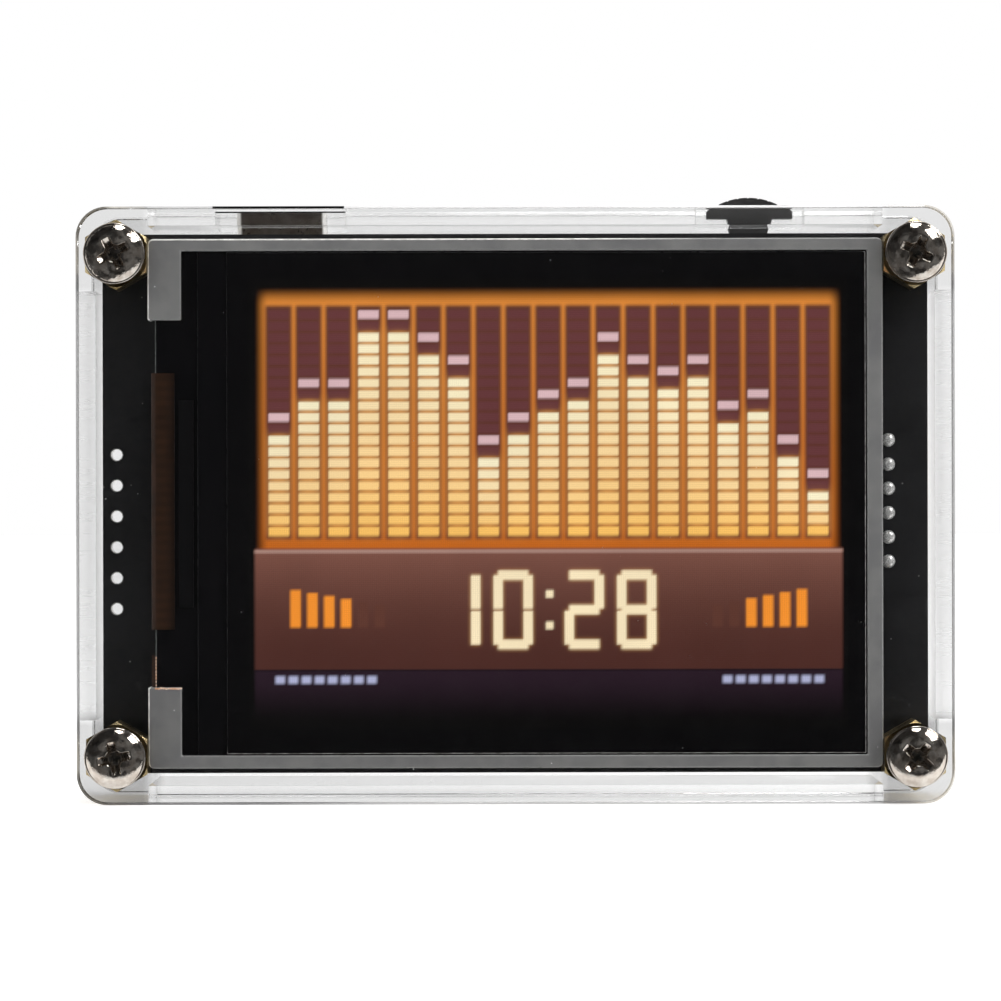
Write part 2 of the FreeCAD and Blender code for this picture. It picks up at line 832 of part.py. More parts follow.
def lever():
    """Rocking lever: round ribbed head, tapered stem, hub on the pin and a short tail."""
    half = lever_head_half_width
    arc_rise = math.sqrt(lever_head_radius ** 2 - half ** 2)
    profile = [(half, arc_rise), (half, lever_arm_rise), (lever_neck_half_width, lever_arm_rise),
               (lever_foot_half_width, 0), (-lever_foot_half_width, 0),
               (-lever_neck_half_width, lever_arm_rise), (-half, lever_arm_rise), (-half, arc_rise)]
    edges = []
    for (xa, za), (xb, zb) in zip(profile, profile[1:]):
        edges.append(Part.LineSegment(vec(xa, lever_front, za), vec(xb, lever_front, zb)).toShape())
    edges.append(Part.Arc(vec(-half, lever_front, arc_rise), vec(0, lever_front, lever_head_radius),
                          vec(half, lever_front, arc_rise)).toShape())
    body = Part.Face(Part.Wire(edges)).extrude(vec(0, lever_thickness, 0))
    spread = 2 * math.degrees(math.asin(half / lever_head_radius))
    for step in range(lever_rib_count):
        angle = math.radians(spread * ((step + 0.5) / lever_rib_count - 0.5))
        groove = prism([(-lever_rib_half_width, lever_head_radius + lever_rib_depth),
                        (0, lever_head_radius - lever_rib_depth),
                        (lever_rib_half_width, lever_head_radius + lever_rib_depth)],
                       lever_front, lever_back)
        body = body.cut(groove.rotated(vec(0, 0, 0), vec(0, 1, 0), math.degrees(angle)))
    body = body.fuse(rod(0, 0, lever_hub_radius, lever_front, lever_back))
    body = body.fuse(block(-lever_tail_half_width, lever_tail_half_width, lever_front, lever_back,
                           -lever_tail_length, 0))
    body = body.cut(rod(0, 0, switch_pin_radius + switch_pin_clearance, lever_front, lever_back))
    return body.translated(vec(lever_x, 0, lever_pivot_z))


def snap_dome():
    """Thin domed contact on the tray's lower wall, under the carrier."""
    ball = (dome_radius ** 2 + dome_height ** 2) / (2 * dome_height)
    x = lever_x
    y = (carrier_front + lever_back) / 2
    z = switch_bottom + switch_wall
    centre = vec(x, y, z + dome_height - ball)
    shell = Part.makeSphere(ball, centre).cut(Part.makeSphere(ball - dome_sheet, centre))
    return shell.common(Part.makeCylinder(dome_radius, dome_height, vec(x, y, z)))


def centring_spring():
    """Wire hairpin on the carrier, with one leg each side of the lever's tail."""
    z0 = carrier_bottom + spring_wire_radius
    y = carrier_back + spring_wire_radius
    pieces = Part.makeCylinder(spring_wire_radius, 2 * spring_half_width,
                               vec(lever_x - spring_half_width, y, z0), vec(1, 0, 0))
    for side in (-1, 1):
        x = lever_x + side * spring_half_width
        pieces = pieces.fuse(Part.makeSphere(spring_wire_radius, vec(x, y, z0)))
        pieces = pieces.fuse(Part.makeCylinder(spring_wire_radius, spring_leg, vec(x, y, z0)))
    return pieces.removeSplitter()


def switch_terminals():
    """Solder legs under the tray's lower edge."""
    legs = []
    for step in range(terminal_count):
        x = lever_x + (step - (terminal_count - 1) / 2) * terminal_pitch
        legs.append(block(x - terminal_width / 2, x + terminal_width / 2,
                          board_back, board_back + terminal_thickness,
                          switch_bottom - terminal_length, switch_bottom))
    return legs


# Parts on the back of the board

def bent_leg(reach, shoulder, width):
    """Chip leg that leaves a body at x = 0, steps down and ends in a foot on the board."""
    out = reach * leg_shoulder_share
    foot = reach * leg_foot_share
    points = [(0, shoulder), (out, shoulder), (reach - foot, 0), (reach, 0),
              (reach, leg_thickness), (reach - foot + leg_thickness / 2, leg_thickness),
              (out + leg_thickness / 2, shoulder + leg_thickness), (0, shoulder + leg_thickness)]
    lifted = [(x, board_back + y) for x, y in points]
    return column(lifted, -width / 2, width / 2)


def leg_row(place, offset, count, pitch, leg, turn):
    """Row of legs along one side of a chip, turned about the chip's middle."""
    x, z = place
    row = []
    for step in range(count):
        along = (step - (count - 1) / 2) * pitch
        piece = leg.translated(vec(offset, 0, along))
        piece = piece.rotated(vec(0, 0, 0), vec(0, 1, 0), turn)
        row.append(piece.translated(vec(x, 0, z)))
    return row


def chip_body(place, width, height, thickness):
    """Moulded body that stands a little off the board, with bevelled sides."""
    x, z = place
    lift = leg_thickness / 2
    body = slab(x, z, width, height, board_back + lift, board_back + thickness)
    outer = [edge for edge in body.Edges if edge.BoundBox.YMin > board_back + thickness - 1e-6]
    return body.makeChamfer(leg_thickness, outer)


def microcontroller_legs():
    leg = bent_leg(microcontroller_leg_reach, microcontroller_thickness / 2, microcontroller_leg_width)
    legs = []
    for turn in (0, 90, 180, 270):
        legs += leg_row(microcontroller_place, microcontroller_side / 2,
                        microcontroller_legs_per_side, microcontroller_leg_pitch, leg, turn)
    return legs


def small_chip_legs(place):
    """Legs along the upper and lower sides of a small chip."""
    leg = bent_leg(small_chip_leg_reach, small_chip_thickness / 2, small_chip_leg_width)
    legs = []
    for turn in (90, 270):
        legs += leg_row(place, small_chip_width / 2,
                        small_chip_legs_per_side, small_chip_leg_pitch, leg, turn)
    return legs


def regulator_legs():
    """Three legs below the regulator and a wide tab above it."""
    leg = bent_leg(regulator_leg_reach, regulator_thickness / 2, regulator_leg_width)
    tab = bent_leg(regulator_leg_reach, regulator_thickness / 2, regulator_tab_width)
    legs = leg_row(regulator_place, regulator_width / 2, 3, regulator_leg_pitch, leg, 90)
    return legs + leg_row(regulator_place, regulator_width / 2, 1, 0, tab, 270)


def stadium(x, z, length, width, y0, y1):
    """Bar with round ends, long way along X."""
    bar = slab(x, z, length - width, width, y0, y1)
    for side in (-1, 1):
        bar = bar.fuse(rod(x + side * (length - width) / 2, z, width / 2, y0, y1))
    return bar.removeSplitter()


def main_crystal():
    """Stamped can with a flange at its foot."""
    x, z = main_crystal_place
    foot = board_back + crystal_base_height
    flange = stadium(x, z, main_crystal_length + 2 * main_crystal_flange,
                     main_crystal_width + 2 * main_crystal_flange,
                     foot, foot + main_crystal_flange_height)
    can = stadium(x, z, main_crystal_length, main_crystal_width,
                  foot + main_crystal_flange_height, board_back + main_crystal_height)
    rim = [edge for edge in can.Edges if edge.BoundBox.YMin > board_back + main_crystal_height - 1e-6]
    return flange.fuse(can.makeFillet(main_crystal_round, rim))


def crystal_base():
    x, z = main_crystal_place
    return slab(x, z, crystal_base_length, crystal_base_width, board_back,
                board_back + crystal_base_height)


def clock_crystal():
    """Small tubular can lying on the board, with two leads."""
    x, z = clock_crystal_place
    y = board_back + clock_crystal_radius
    start = x - clock_crystal_length / 2
    can = Part.makeCylinder(clock_crystal_radius, clock_crystal_length, vec(start, y, z), vec(1, 0, 0))
    end = x + clock_crystal_length / 2
    for side in (-1, 1):
        lead_z = z + side * clock_crystal_lead_pitch / 2
        can = can.fuse(Part.makeCylinder(clock_crystal_lead_radius, clock_crystal_lead_length,
                                         vec(end, y, lead_z), vec(1, 0, 0)))
        drop = Part.makeCylinder(clock_crystal_lead_radius, clock_crystal_radius,
                                 vec(end + clock_crystal_lead_length, board_back, lead_z), vec(0, 1, 0))
        knee = Part.makeSphere(clock_crystal_lead_radius,
                               vec(end + clock_crystal_lead_length, y, lead_z))
        can = can.fuse(drop).fuse(knee)
    return can


def coin_cell():
    """Flat cell with a smaller upper face, as its rolled rim leaves it."""
    x, z = coin_cell_place
    cell = rod(x, z, coin_cell_radius, board_back, board_back + coin_cell_thickness)
    rims = [edge for edge in cell.Edges if edge.BoundBox.YLength < 1e-6]
    return cell.makeChamfer(coin_cell_edge, rims)


def coin_clip():
    """Sprung steel strip over the cell, soldered to the board at both ends."""
    x, z = coin_cell_place
    inner = coin_cell_radius + coin_clip_gap
    outer = inner + coin_clip_sheet
    under = board_back + coin_cell_thickness + coin_clip_gap
    top = under + coin_clip_sheet
    foot_back = board_back + coin_clip_sheet
    half = coin_clip_width / 2
    clip = block(x - outer, x + outer, under, top, z - half, z + half)
    for side in (-1, 1):
        leg = slab(x + side * (inner + outer) / 2, z, coin_clip_sheet, coin_clip_width, board_back, under)
        foot = slab(x + side * (outer + coin_clip_foot / 2), z, coin_clip_foot, coin_clip_width,
                    board_back, foot_back)
        clip = clip.fuse(leg).fuse(foot)
    return clip.removeSplitter()


def microphone():
    """Electret capsule: a round can with a rolled edge, standing on the board."""
    x, z = microphone_place
    top = board_back + microphone_height
    can = rod(x, z, microphone_radius, board_back, top)
    rim = [edge for edge in can.Edges if edge.BoundBox.YMin > top - 1e-6]
    can = can.makeFillet(microphone_edge, rim)
    return can.cut(rod(x, z, felt_radius, top - felt_thickness, top))


def microphone_felt():
    x, z = microphone_place
    top = board_back + microphone_height
    return rod(x, z, felt_radius, top - felt_thickness, top)


def capacitor_base():
    """Square plastic foot with two cut corners."""
    half = capacitor_base_side / 2
    cut = half - capacitor_base_corner
    points = [(-half, -half), (half, -half), (half, cut), (cut, half), (-cut, half), (-half, cut)]
    return prism(points, board_back, board_back + capacitor_base_height)


def capacitor_can():
    """Aluminium can with a rolled groove near its foot."""
    foot = board_back + capacitor_base_height
    top = board_back + capacitor_height
    groove = board_back + capacitor_groove_rise
    can = rod(0, 0, capacitor_radius, foot, top)
    ring = Part.makeTorus(capacitor_radius, capacitor_groove_radius, vec(0, groove, 0), vec(0, 1, 0))
    can = can.cut(ring)
    rim = [edge for edge in can.Edges if edge.BoundBox.YMin > top - 1e-6]
    return can.makeFillet(capacitor_groove_radius, rim)


def row_places(shift, step, count, upright):
    """Evenly spaced places along X or, where upright, along Z; the shift is from the board's middle."""
    x = shift[0]
    z = board_mid + shift[1]
    if upright:
        return [(x, z + step * number) for number in range(count)]
    return [(x + step * number, z) for number in range(count)]


def chip_part(height, upright):
    """Middle of a small two-ended part, long way along Z, or along X in an upright column."""
    length = chip_part_length - 2 * chip_part_terminal
    width, tall = (length, chip_part_width) if upright else (chip_part_width, length)
    return slab(0, 0, width, tall, board_back, board_back + height)


def chip_part_ends(height, upright):
    """The two metal ends of such a part."""
    offset = (chip_part_length - chip_part_terminal) / 2
    ends = []
    for side in (-1, 1):
        if upright:
            ends.append(slab(side * offset, 0, chip_part_terminal, chip_part_width,
                             board_back, board_back + height))
        else:
            ends.append(slab(0, side * offset, chip_part_width, chip_part_terminal,
                             board_back, board_back + height))
    return ends


def chip_parts():
    """Ceramic capacitors, resistors and the metal ends of both."""
    rows = (
        ("ceramic", ceramic_height, row_places(ceramic_row_shift, ceramic_row_step,
                                               ceramic_row_count, False), False),
        ("ceramic", ceramic_height, row_places(decoupler_column_shift, decoupler_column_step,
                                               decoupler_column_count, True), True),
        ("resistor", resistor_height, row_places(resistor_row_shift, resistor_row_step,
                                                 resistor_row_count, False), False),
        ("resistor", resistor_height, row_places(resistor_column_shift, resistor_column_step,
                                                 resistor_column_count, True), True),
    )
    bodies = {"ceramic": [], "resistor": []}
    ends = []
    for kind, height, places, upright in rows:
        bodies[kind] += at_each(chip_part(height, upright), places)
        for end in chip_part_ends(height, upright):
            ends += at_each(end, places)
    return bodies["ceramic"], bodies["resistor"], ends


# Write every node

save("front_plate", case_plate(front_face, front_inside))
save("back_plate", case_plate(back_inside, back_face))
save("top_wall", top_wall())
save("bottom_wall", level_wall(0))
save("left_wall", side_wall(-case_width / 2))
save("right_wall", side_wall(case_width / 2 - wall_thickness))
save("front_screws", *screws(front_screw_turns, front_face, 0))
save("rear_screws", *screws(rear_screw_turns, back_face, 180))
save("front_standoffs", *at_each(front_standoff(), screw_places))
save("rear_standoffs", *at_each(rear_standoff(), screw_places))

save("circuit_board", circuit_board())
save("header_hole_liners", *at_each(header_liner_tube(), header_places()))
save("connector_body", connector_body())
save("connector_pins", *at_each(connector_pin(), connector_places()))
save("connector_joints", *at_each(connector_joint(), connector_places()))

save("display_bezel", display_bezel())
save("display_rear_glass", rear_glass())
save("display_front_glass", front_glass())
save("display_polarizer", front_polarizer())
save("display_driver_chip", driver_chip())
save("display_flex", display_flex())
save("display_flex_joints", *flex_joints())
save("backlight_frame", backlight_frame())
guide_front = backlight_front + diffuser_thickness
save("diffuser_film", backlight_sheet(backlight_front, guide_front, True))
save("light_guide", backlight_sheet(guide_front, guide_front + guide_thickness, False))
save("reflector_film", backlight_sheet(display_back - reflector_thickness, display_back, True))
led_places = [(0, board_mid + (step - (led_count - 1) / 2) * led_pitch) for step in range(led_count)]
save("backlight_leds", *at_each(backlight_diode(), led_places))
foam_offset = -(flex_end + flex_joint_length + foam_flex_gap + foam_strip_width / 2)
foam_places = [(side * foam_offset, board_mid) for side in (-1, 1)]
save("foam_tape", *at_each(foam_strip(), foam_places))

save("usb_shell", usb_shell())
save("usb_tongue", usb_tongue())
save("usb_contacts", *usb_contacts())

save("switch_base", switch_base())
save("switch_cover", switch_cover())
save("switch_carrier", switch_carrier())
save("lever_pin", lever_pin())
save("lever", lever())
save("snap_dome", snap_dome())
save("centring_spring", centring_spring())
save("switch_terminals", *switch_terminals())

save("microcontroller", chip_body(microcontroller_place, microcontroller_side,
                                  microcontroller_side, microcontroller_thickness))
save("microcontroller_legs", *microcontroller_legs())
save("memory_chip", chip_body(memory_chip_place, small_chip_length, small_chip_width,
                              small_chip_thickness))
save("memory_chip_legs", *small_chip_legs(memory_chip_place))
save("clock_chip", chip_body(clock_chip_place, small_chip_length, small_chip_width,
                             small_chip_thickness))
save("clock_chip_legs", *small_chip_legs(clock_chip_place))
save("voltage_regulator", chip_body(regulator_place, regulator_length, regulator_width,
                                    regulator_thickness))
save("regulator_legs", *regulator_legs())
save("main_crystal", main_crystal())
save("crystal_base", crystal_base())
save("clock_crystal", clock_crystal())
save("coin_cell", coin_cell())
save("coin_cell_clip", coin_clip())
save("microphone", microphone())
save("microphone_felt", microphone_felt())
capacitor_x = board_left + capacitor_inset[0]
capacitor_z = board_top - capacitor_inset[1]
capacitor_places = [(capacitor_x, capacitor_z - step * capacitor_spacing) for step in range(capacitor_count)]
save("capacitor_cans", *at_each(capacitor_can(), capacitor_places))
save("capacitor_bases", *at_each(capacitor_base(), capacitor_places))
ceramics, resistors, chip_ends = chip_parts()
save("ceramic_capacitors", *ceramics)
save("resistors", *resistors)
save("chip_terminals", *chip_ends)
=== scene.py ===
import json
import random
from math import copysign, cos, exp, hypot, pi, radians, sin, sqrt

import bmesh
import bpy
import numpy as np
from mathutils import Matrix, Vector

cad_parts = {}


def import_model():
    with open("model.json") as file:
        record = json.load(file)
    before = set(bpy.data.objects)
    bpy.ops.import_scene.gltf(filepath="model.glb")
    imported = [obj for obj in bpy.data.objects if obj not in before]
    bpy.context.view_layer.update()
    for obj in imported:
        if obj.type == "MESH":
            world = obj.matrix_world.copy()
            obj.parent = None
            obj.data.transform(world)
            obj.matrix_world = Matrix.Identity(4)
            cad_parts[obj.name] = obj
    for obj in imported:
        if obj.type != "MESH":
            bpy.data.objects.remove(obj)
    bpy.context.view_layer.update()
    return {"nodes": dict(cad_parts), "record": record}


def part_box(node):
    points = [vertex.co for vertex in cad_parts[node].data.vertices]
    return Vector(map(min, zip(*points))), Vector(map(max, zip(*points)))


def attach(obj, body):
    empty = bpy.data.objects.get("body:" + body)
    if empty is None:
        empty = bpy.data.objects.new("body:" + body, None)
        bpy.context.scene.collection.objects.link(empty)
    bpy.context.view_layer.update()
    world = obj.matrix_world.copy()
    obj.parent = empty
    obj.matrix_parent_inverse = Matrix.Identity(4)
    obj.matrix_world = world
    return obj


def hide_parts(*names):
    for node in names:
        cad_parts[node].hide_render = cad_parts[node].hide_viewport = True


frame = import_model()
nodes = frame["nodes"]

# Lengths are in metres, in the clock's own frame: the front faces -Y and +Z is up.
MM = 0.001
CASE_MID_Z = 24.35
PLATE_FACE = 8.8


def srgb(red, green, blue):
    """Colour as it looks on a screen, 0 to 255, turned into the linear values that shaders use."""
    def linear(value):
        share = value / 255
        return share / 12.92 if share <= 0.04045 else ((share + 0.055) / 1.055) ** 2.4
    return (linear(red), linear(green), linear(blue), 1)


def smooth_step(low, high, values):
    share = np.clip((values - low) / (high - low), 0, 1)
    return share * share * (3 - 2 * share)


def box_mm(node):
    """A node's lowest and highest corners, in millimetres."""
    low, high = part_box(node)
    return low / MM, high / MM


# Node helpers

class Nodes:
    """The nodes of a material or of the world, and short ways to add and join them."""

    def __init__(self, tree, curve="LINEAR"):
        self.tree = tree
        self.curve = curve
        tree.nodes.clear()

    def feed(self, socket, value):
        """Link a pattern to a socket, or set the socket to a plain value."""
        if isinstance(value, bpy.types.NodeSocket):
            self.tree.links.new(value, socket)
        else:
            socket.default_value = value

    def add(self, kind, inputs=None, **settings):
        """Outputs of a new shader node, whose inputs are fed by name or number."""
        node = self.tree.nodes.new("ShaderNode" + kind)
        for name, value in settings.items():
            setattr(node, name, value)
        for name, value in (inputs or {}).items():
            self.feed(node.inputs[name], value)
        return node.outputs

    def math(self, operation, first, second=0):
        return self.add("Math", {0: first, 1: second}, operation=operation)[0]

    def times(self, first, second):
        return self.math("MULTIPLY", first, second)

    def larger(self, first, second):
        return self.math("MAXIMUM", first, second)

    def split(self, vector):
        """The X, Y and Z outputs of a vector."""
        return self.add("SeparateXYZ", {0: vector})

    def spread(self, pattern, low, high, start=0.35, end=0.65):
        """Stretch the middle of a pattern to run from low to high."""
        inputs = {"Value": pattern, "From Min": start, "From Max": end, "To Min": low, "To Max": high}
        return self.add("MapRange", inputs, clamp=True, interpolation_type=self.curve)["Result"]

    def choose(self, share, first, second):
        """The first shader, or the second where share is 1."""
        return self.add("MixShader", {0: share, 1: first, 2: second})[0]


# Every material made so far, by name
MATERIALS = {}


class Shader(Nodes):
    """A named material with one Principled shader, and short ways to drive it from patterns."""

    def __init__(self, name, colour, roughness, metallic=0, **sockets):
        material = bpy.data.materials.new(name)
        material.use_nodes = True
        material.diffuse_color = colour
        MATERIALS[name] = material
        super().__init__(material.node_tree)
        self.output = self.tree.nodes.new("ShaderNodeOutputMaterial")
        self.bsdf = self.tree.nodes.new("ShaderNodeBsdfPrincipled")
        self.feed(self.output.inputs["Surface"], self.bsdf.outputs["BSDF"])
        sockets.update(Base_Color=colour, Roughness=roughness, Metallic=metallic)
        for socket, value in sockets.items():
            self.drive(socket.replace("_", " "), value)
        self.place = self.add("TexCoord")["Object"]

    def drive(self, socket, value):
        """Set one of the shader's own sockets, or link a pattern to it."""
        self.feed(self.bsdf.inputs[socket], value)

    def colour(self, value):
        self.drive("Base Color", value)

    def tones(self, pattern, first, second):
        """Let the colour drift between two shades with a pattern."""
        self.colour(self.shades(pattern, first, second))

    def roughness(self, pattern, smooth, rough):
        """Let the roughness vary between two values with a pattern."""
        self.drive("Roughness", self.spread(pattern, smooth, rough))

    def bump(self, height, depth, strength):
        """Raise the surface by a pattern; depth is in millimetres."""
        inputs = {"Height": height, "Strength": strength, "Distance": depth * MM}
        self.drive("Normal", self.add("Bump", inputs)["Normal"])

    def noise(self, size, detail=3, rough=0.55, stretch=None):
        """Cloudy pattern from 0 to 1 whose patches are about this many millimetres across, or stretched."""
        place = self.place
        if stretch:
            place = self.add("Mapping", {"Vector": place, "Scale": stretch})["Vector"]
        inputs = {"Vector": place, "Scale": 1 / (size * MM), "Detail": detail, "Roughness": rough}
        return self.add("TexNoise", inputs)["Fac"]

    def specks(self, spacing, radius, share):
        """Scattered dots about this many millimetres apart; share of the places that have one."""
        cells = self.add("TexVoronoi", {"Vector": self.place, "Scale": 1 / (spacing * MM)})
        dot = self.spread(cells["Distance"], 1, 0, radius * 0.6, radius)
        return self.times(dot, self.math("LESS_THAN", self.split(cells["Color"])[0], share))

    def mix(self, share, first, second):
        """Blend of two colours."""
        return self.add("Mix", {0: share, 6: first, 7: second}, data_type="RGBA")[2]

    def shades(self, pattern, first, second):
        """Blend of two colours that drifts with a pattern."""
        return self.mix(self.spread(pattern, 0, 1), first, second)

    def facing(self, axis):
        """How much the surface faces along one axis, either way: 0 to 1."""
        return self.math("ABSOLUTE", self.split(self.add("NewGeometry")["Normal"])[axis])

    def axis(self, name):
        """One of the object's own coordinates, in metres."""
        return self.split(self.place)[name]

    def ramp(self, place, low, high, start, end):
        """Run from low to high between two places given in millimetres."""
        return self.spread(place, low, high, start * MM, end * MM)

    def inside(self, low, high):
        """1 inside a box given in millimetres and 0 outside it."""
        share = 1
        for name, start, end in zip("XYZ", low, high):
            place = self.axis(name)
            share = self.times(share, self.math("GREATER_THAN", place, start * MM))
            share = self.times(share, self.math("LESS_THAN", place, end * MM))
        return share

    def partly_clear(self, share):
        """Let rays pass straight through where share is 1."""
        clear = self.add("BsdfTransparent")["BSDF"]
        self.feed(self.output.inputs["Surface"], self.choose(share, self.bsdf.outputs["BSDF"], clear))

    def let_lamps_through(self):
        """Clear material: lamps and soft light pass it straight, so that what it covers is lit."""
        ray = self.add("LightPath")
        self.partly_clear(self.larger(ray["Is Shadow Ray"], ray["Is Diffuse Ray"]))


# Materials

# How far from the middle of the case the plates' corners and their rounded edges start, across and up.
CORNER_START = (30, 17.5)
ROUNDED_START = (33.1, 21.9)
CORNER_BLUR = 0.4
# Painted shade in the plates' colour: how much light they keep at their left and right, and how much the
# painted shade in their corners takes away at the bottom and at the top.
PLATE_PAINTED_SHADE_ACROSS = (0.965, 0.995)
CORNER_PAINTED_SHADE = (0.31, 0.15)
# Painted light and shade in the front plate's bevel, from 0 to 1.
PAINTED_EDGE_LIGHT = {"top": 0.9, "top_ends": 0.62, "bottom": 0.62, "bottom_left": 0.22, "sides": 0.42,
              "left_corners": 0.16, "lower_right": 0.95, "upper_right": 0.72}
# Faces of the side strips nearer the middle of the case than this are their inner ones.
STRIP_MIDDLE_X = 35
# How slanting such a face is seen, from 0 to 1, where its scuffs start to show and where they show fully.
SCUFFS_SHOW = (0.75, 0.88)


def plate_corners(s, starts):
    """1 in the corners of a plate, beyond the given starts."""
    corner = 1
    for name, middle, start in (("X", 0, starts[0]), ("Z", CASE_MID_Z, starts[1])):
        reach = s.math("ABSOLUTE", s.math("SUBTRACT", s.axis(name), middle * MM))
        corner = s.times(corner, s.ramp(reach, 0, 1, start - CORNER_BLUR, start + CORNER_BLUR))
    return corner


def plate_painted_shade(s):
    """Painted shade in the plates' colour: a little darker at the left, and darker in the corners round the
    screws.
    """
    left_to_right = s.ramp(s.axis("X"), *PLATE_PAINTED_SHADE_ACROSS, -36, 20)
    corner_shade = s.times(plate_corners(s, CORNER_START), s.ramp(s.axis("Z"), *CORNER_PAINTED_SHADE, 10, 40))
    return s.times(left_to_right, s.math("SUBTRACT", 1, corner_shade))


def painted_edge_light(s):
    """Painted light and shade in the front plate's bevel, lighter or darker along the edges and between the
    corners.
    """
    tone = PAINTED_EDGE_LIGHT
    across = s.axis("X")
    up = s.axis("Z")
    top = s.ramp(s.math("ABSOLUTE", across), tone["top"], tone["top_ends"], 12, 22)
    bottom = s.ramp(across, tone["bottom_left"], tone["bottom"], -20, -10)
    straight = s.ramp(up, bottom, tone["sides"], 0.5, 3)
    straight = s.ramp(up, straight, top, 46, 48.3)
    right_corners = s.ramp(up, tone["lower_right"], tone["upper_right"], 10, 40)
    rounded_parts = s.ramp(across, tone["left_corners"], right_corners, -10, 10)
    return s.spread(plate_corners(s, ROUNDED_START), straight, rounded_parts, 0, 1)


def clear_acrylic(name, sheet_axis, cut_rough, tint=0, bevel_shade=0, bevel_clear=0.35, dark_line=None,
                  ior=1.49, ripple=0.2, scuffed=0):
    """Clear sheet, laser cut: polished faces with a little dust, finely lined cut edges and dull bevels;
    painted shade darkens plates by place and lays dark lines where given, and the front plate's bevel carries
    painted light and shade.
    """
    s = Shader(name, (0.96, 0.96, 0.96, 1), 0.01, IOR=ior, Transmission_Weight=1)
    flat = s.facing(sheet_axis)
    edge = s.spread(flat, 1, 0, 0.75, 0.95)
    bevel = s.times(s.spread(flat, 0, 1, 0.3, 0.5), edge)
    lines = s.noise(0.3, 2, 0.5, [0.05 if axis == sheet_axis else 1 for axis in "XYZ"])
    # Painted shade: a plate's colour darkens at the left and in the corners.
    clear = s.times(tint or plate_painted_shade(s), s.spread(edge, 1, 0.99, 0, 1))
    # Painted light and shade: the front plate's bevel colour changes by place.
    shade = s.mix(bevel, clear, (bevel_shade, bevel_shade, bevel_shade, 1) if bevel_shade else painted_edge_light(s))
    passing = s.spread(bevel, 1, bevel_clear, 0, 1)
    if dark_line:
        # Painted shade: an opaque dark line where the slot's edge looks dark.
        painted_shade_line = s.inside(*dark_line)
        shade = s.mix(painted_shade_line, shade, srgb(22, 21, 22))
        passing = s.times(passing, s.spread(painted_shade_line, 1, 0, 0, 1))
    s.colour(shade)
    s.drive("Transmission Weight", passing)
    marks = s.times(s.specks(1.4, 0.05, 0.12), 0.5)
    if scuffed:
        slanting = s.add("LayerWeight")["Facing"]
        inner = s.math("LESS_THAN", s.math("ABSOLUTE", s.axis("X")), STRIP_MIDDLE_X * MM)
        marks = s.larger(marks, s.times(inner, s.spread(slanting, 0, scuffed, *SCUFFS_SHOW)))
    rough_edge = s.times(edge, s.spread(lines, cut_rough * 0.7, cut_rough))
    s.drive("Roughness", s.larger(rough_edge, marks))
    s.bump(s.times(edge, lines), 0.002, ripple)
    s.let_lamps_through()


def bright_nickel():
    """Plated screw heads: slightly rippled by the press, and handled a little."""
    s = Shader("bright_nickel", srgb(224, 216, 206), 0.1, 1)
    s.tones(s.noise(0.7, 5), srgb(230, 223, 214), srgb(200, 188, 176))
    s.roughness(s.noise(0.25, 6, 0.7), 0.03, 0.13)
    pits = s.times(s.noise(0.09), 0.08)
    s.bump(s.math("ADD", s.noise(0.5), pits), 0.05, 0.5)


def brass():
    """Turned hexagonal bar: fine rings round it and a slight tarnish."""
    s = Shader("brass", srgb(224, 204, 158), 0.25, 1)
    s.tones(s.noise(1.6, 4), srgb(232, 214, 170), srgb(196, 172, 120))
    rings = s.noise(0.12, 2, 0.5, (0.05, 1, 0.05))
    s.roughness(rings, 0.18, 0.36)
    s.bump(rings, 0.006, 0.4)


def board_black():
    """Matt black solder mask with a few specks of dust, and the laminate bare at the cut edges."""
    s = Shader("board_black", srgb(16, 15, 17), 0.5)
    mask = s.shades(s.noise(4, 4), srgb(14, 14, 17), srgb(22, 22, 25))
    mask = s.mix(s.specks(1.1, 0.08, 0.25), mask, srgb(130, 128, 126))
    laminate = s.mix(s.spread(s.noise(0.3, 4), 0, 1, 0.4, 0.6), srgb(58, 50, 34), srgb(84, 74, 50))
    s.colour(s.mix(s.spread(s.facing("Y"), 0, 1, 0.4, 0.6), laminate, mask))
    s.roughness(s.noise(0.8, 5), 0.42, 0.6)
    s.bump(s.noise(0.12), 0.006, 0.3)


def tinned(name, light, dark, smooth, rough, metallic=1):
    """Tinned or soldered metal with slight ripples."""
    s = Shader(name, light, smooth, metallic)
    s.tones(s.noise(0.5), light, dark)
    s.roughness(s.noise(0.15, 4), smooth, rough)
    s.bump(s.noise(0.2), 0.01, 0.3)


def bezel_steel():
    """Thin bent sheet with a satin plating: short rolling marks along its length."""
    s = Shader("bezel_steel", srgb(134, 134, 133), 0.42, 0.3)
    marks = s.noise(0.25, 4, 0.6, (0.12, 1, 1))
    s.tones(s.noise(2.5), srgb(140, 140, 139), srgb(126, 126, 127))
    s.roughness(marks, 0.36, 0.48)
    s.bump(marks, 0.004, 0.3)


def edge_wear_and_highlight(name, light, dark, metallic, dull=None, highlight_boxes=(), fade=None):
    """Edge of a sheet or pane, lightly rubbed; where boxes are given, its light shade is a painted highlight
    kept inside them, and it is dull outside the boxes, and to the right where the highlight fades.
    """
    s = Shader(name, light, 0.3, metallic)
    shade = s.shades(s.noise(0.6, 4), light, dark)
    if dull:
        # Painted highlight: the light shade stays only inside the given boxes, fading to the right.
        bright = 0
        for low, high in highlight_boxes:
            bright = s.larger(bright, s.inside(low, high))
        if fade:
            bright = s.times(bright, s.ramp(s.axis("X"), 1, 0, *fade))
        shade = s.mix(bright, dull, shade)
    s.colour(shade)
    s.roughness(s.noise(0.2), 0.24, 0.4)
    s.bump(s.noise(0.1, 2), 0.002, 0.3)


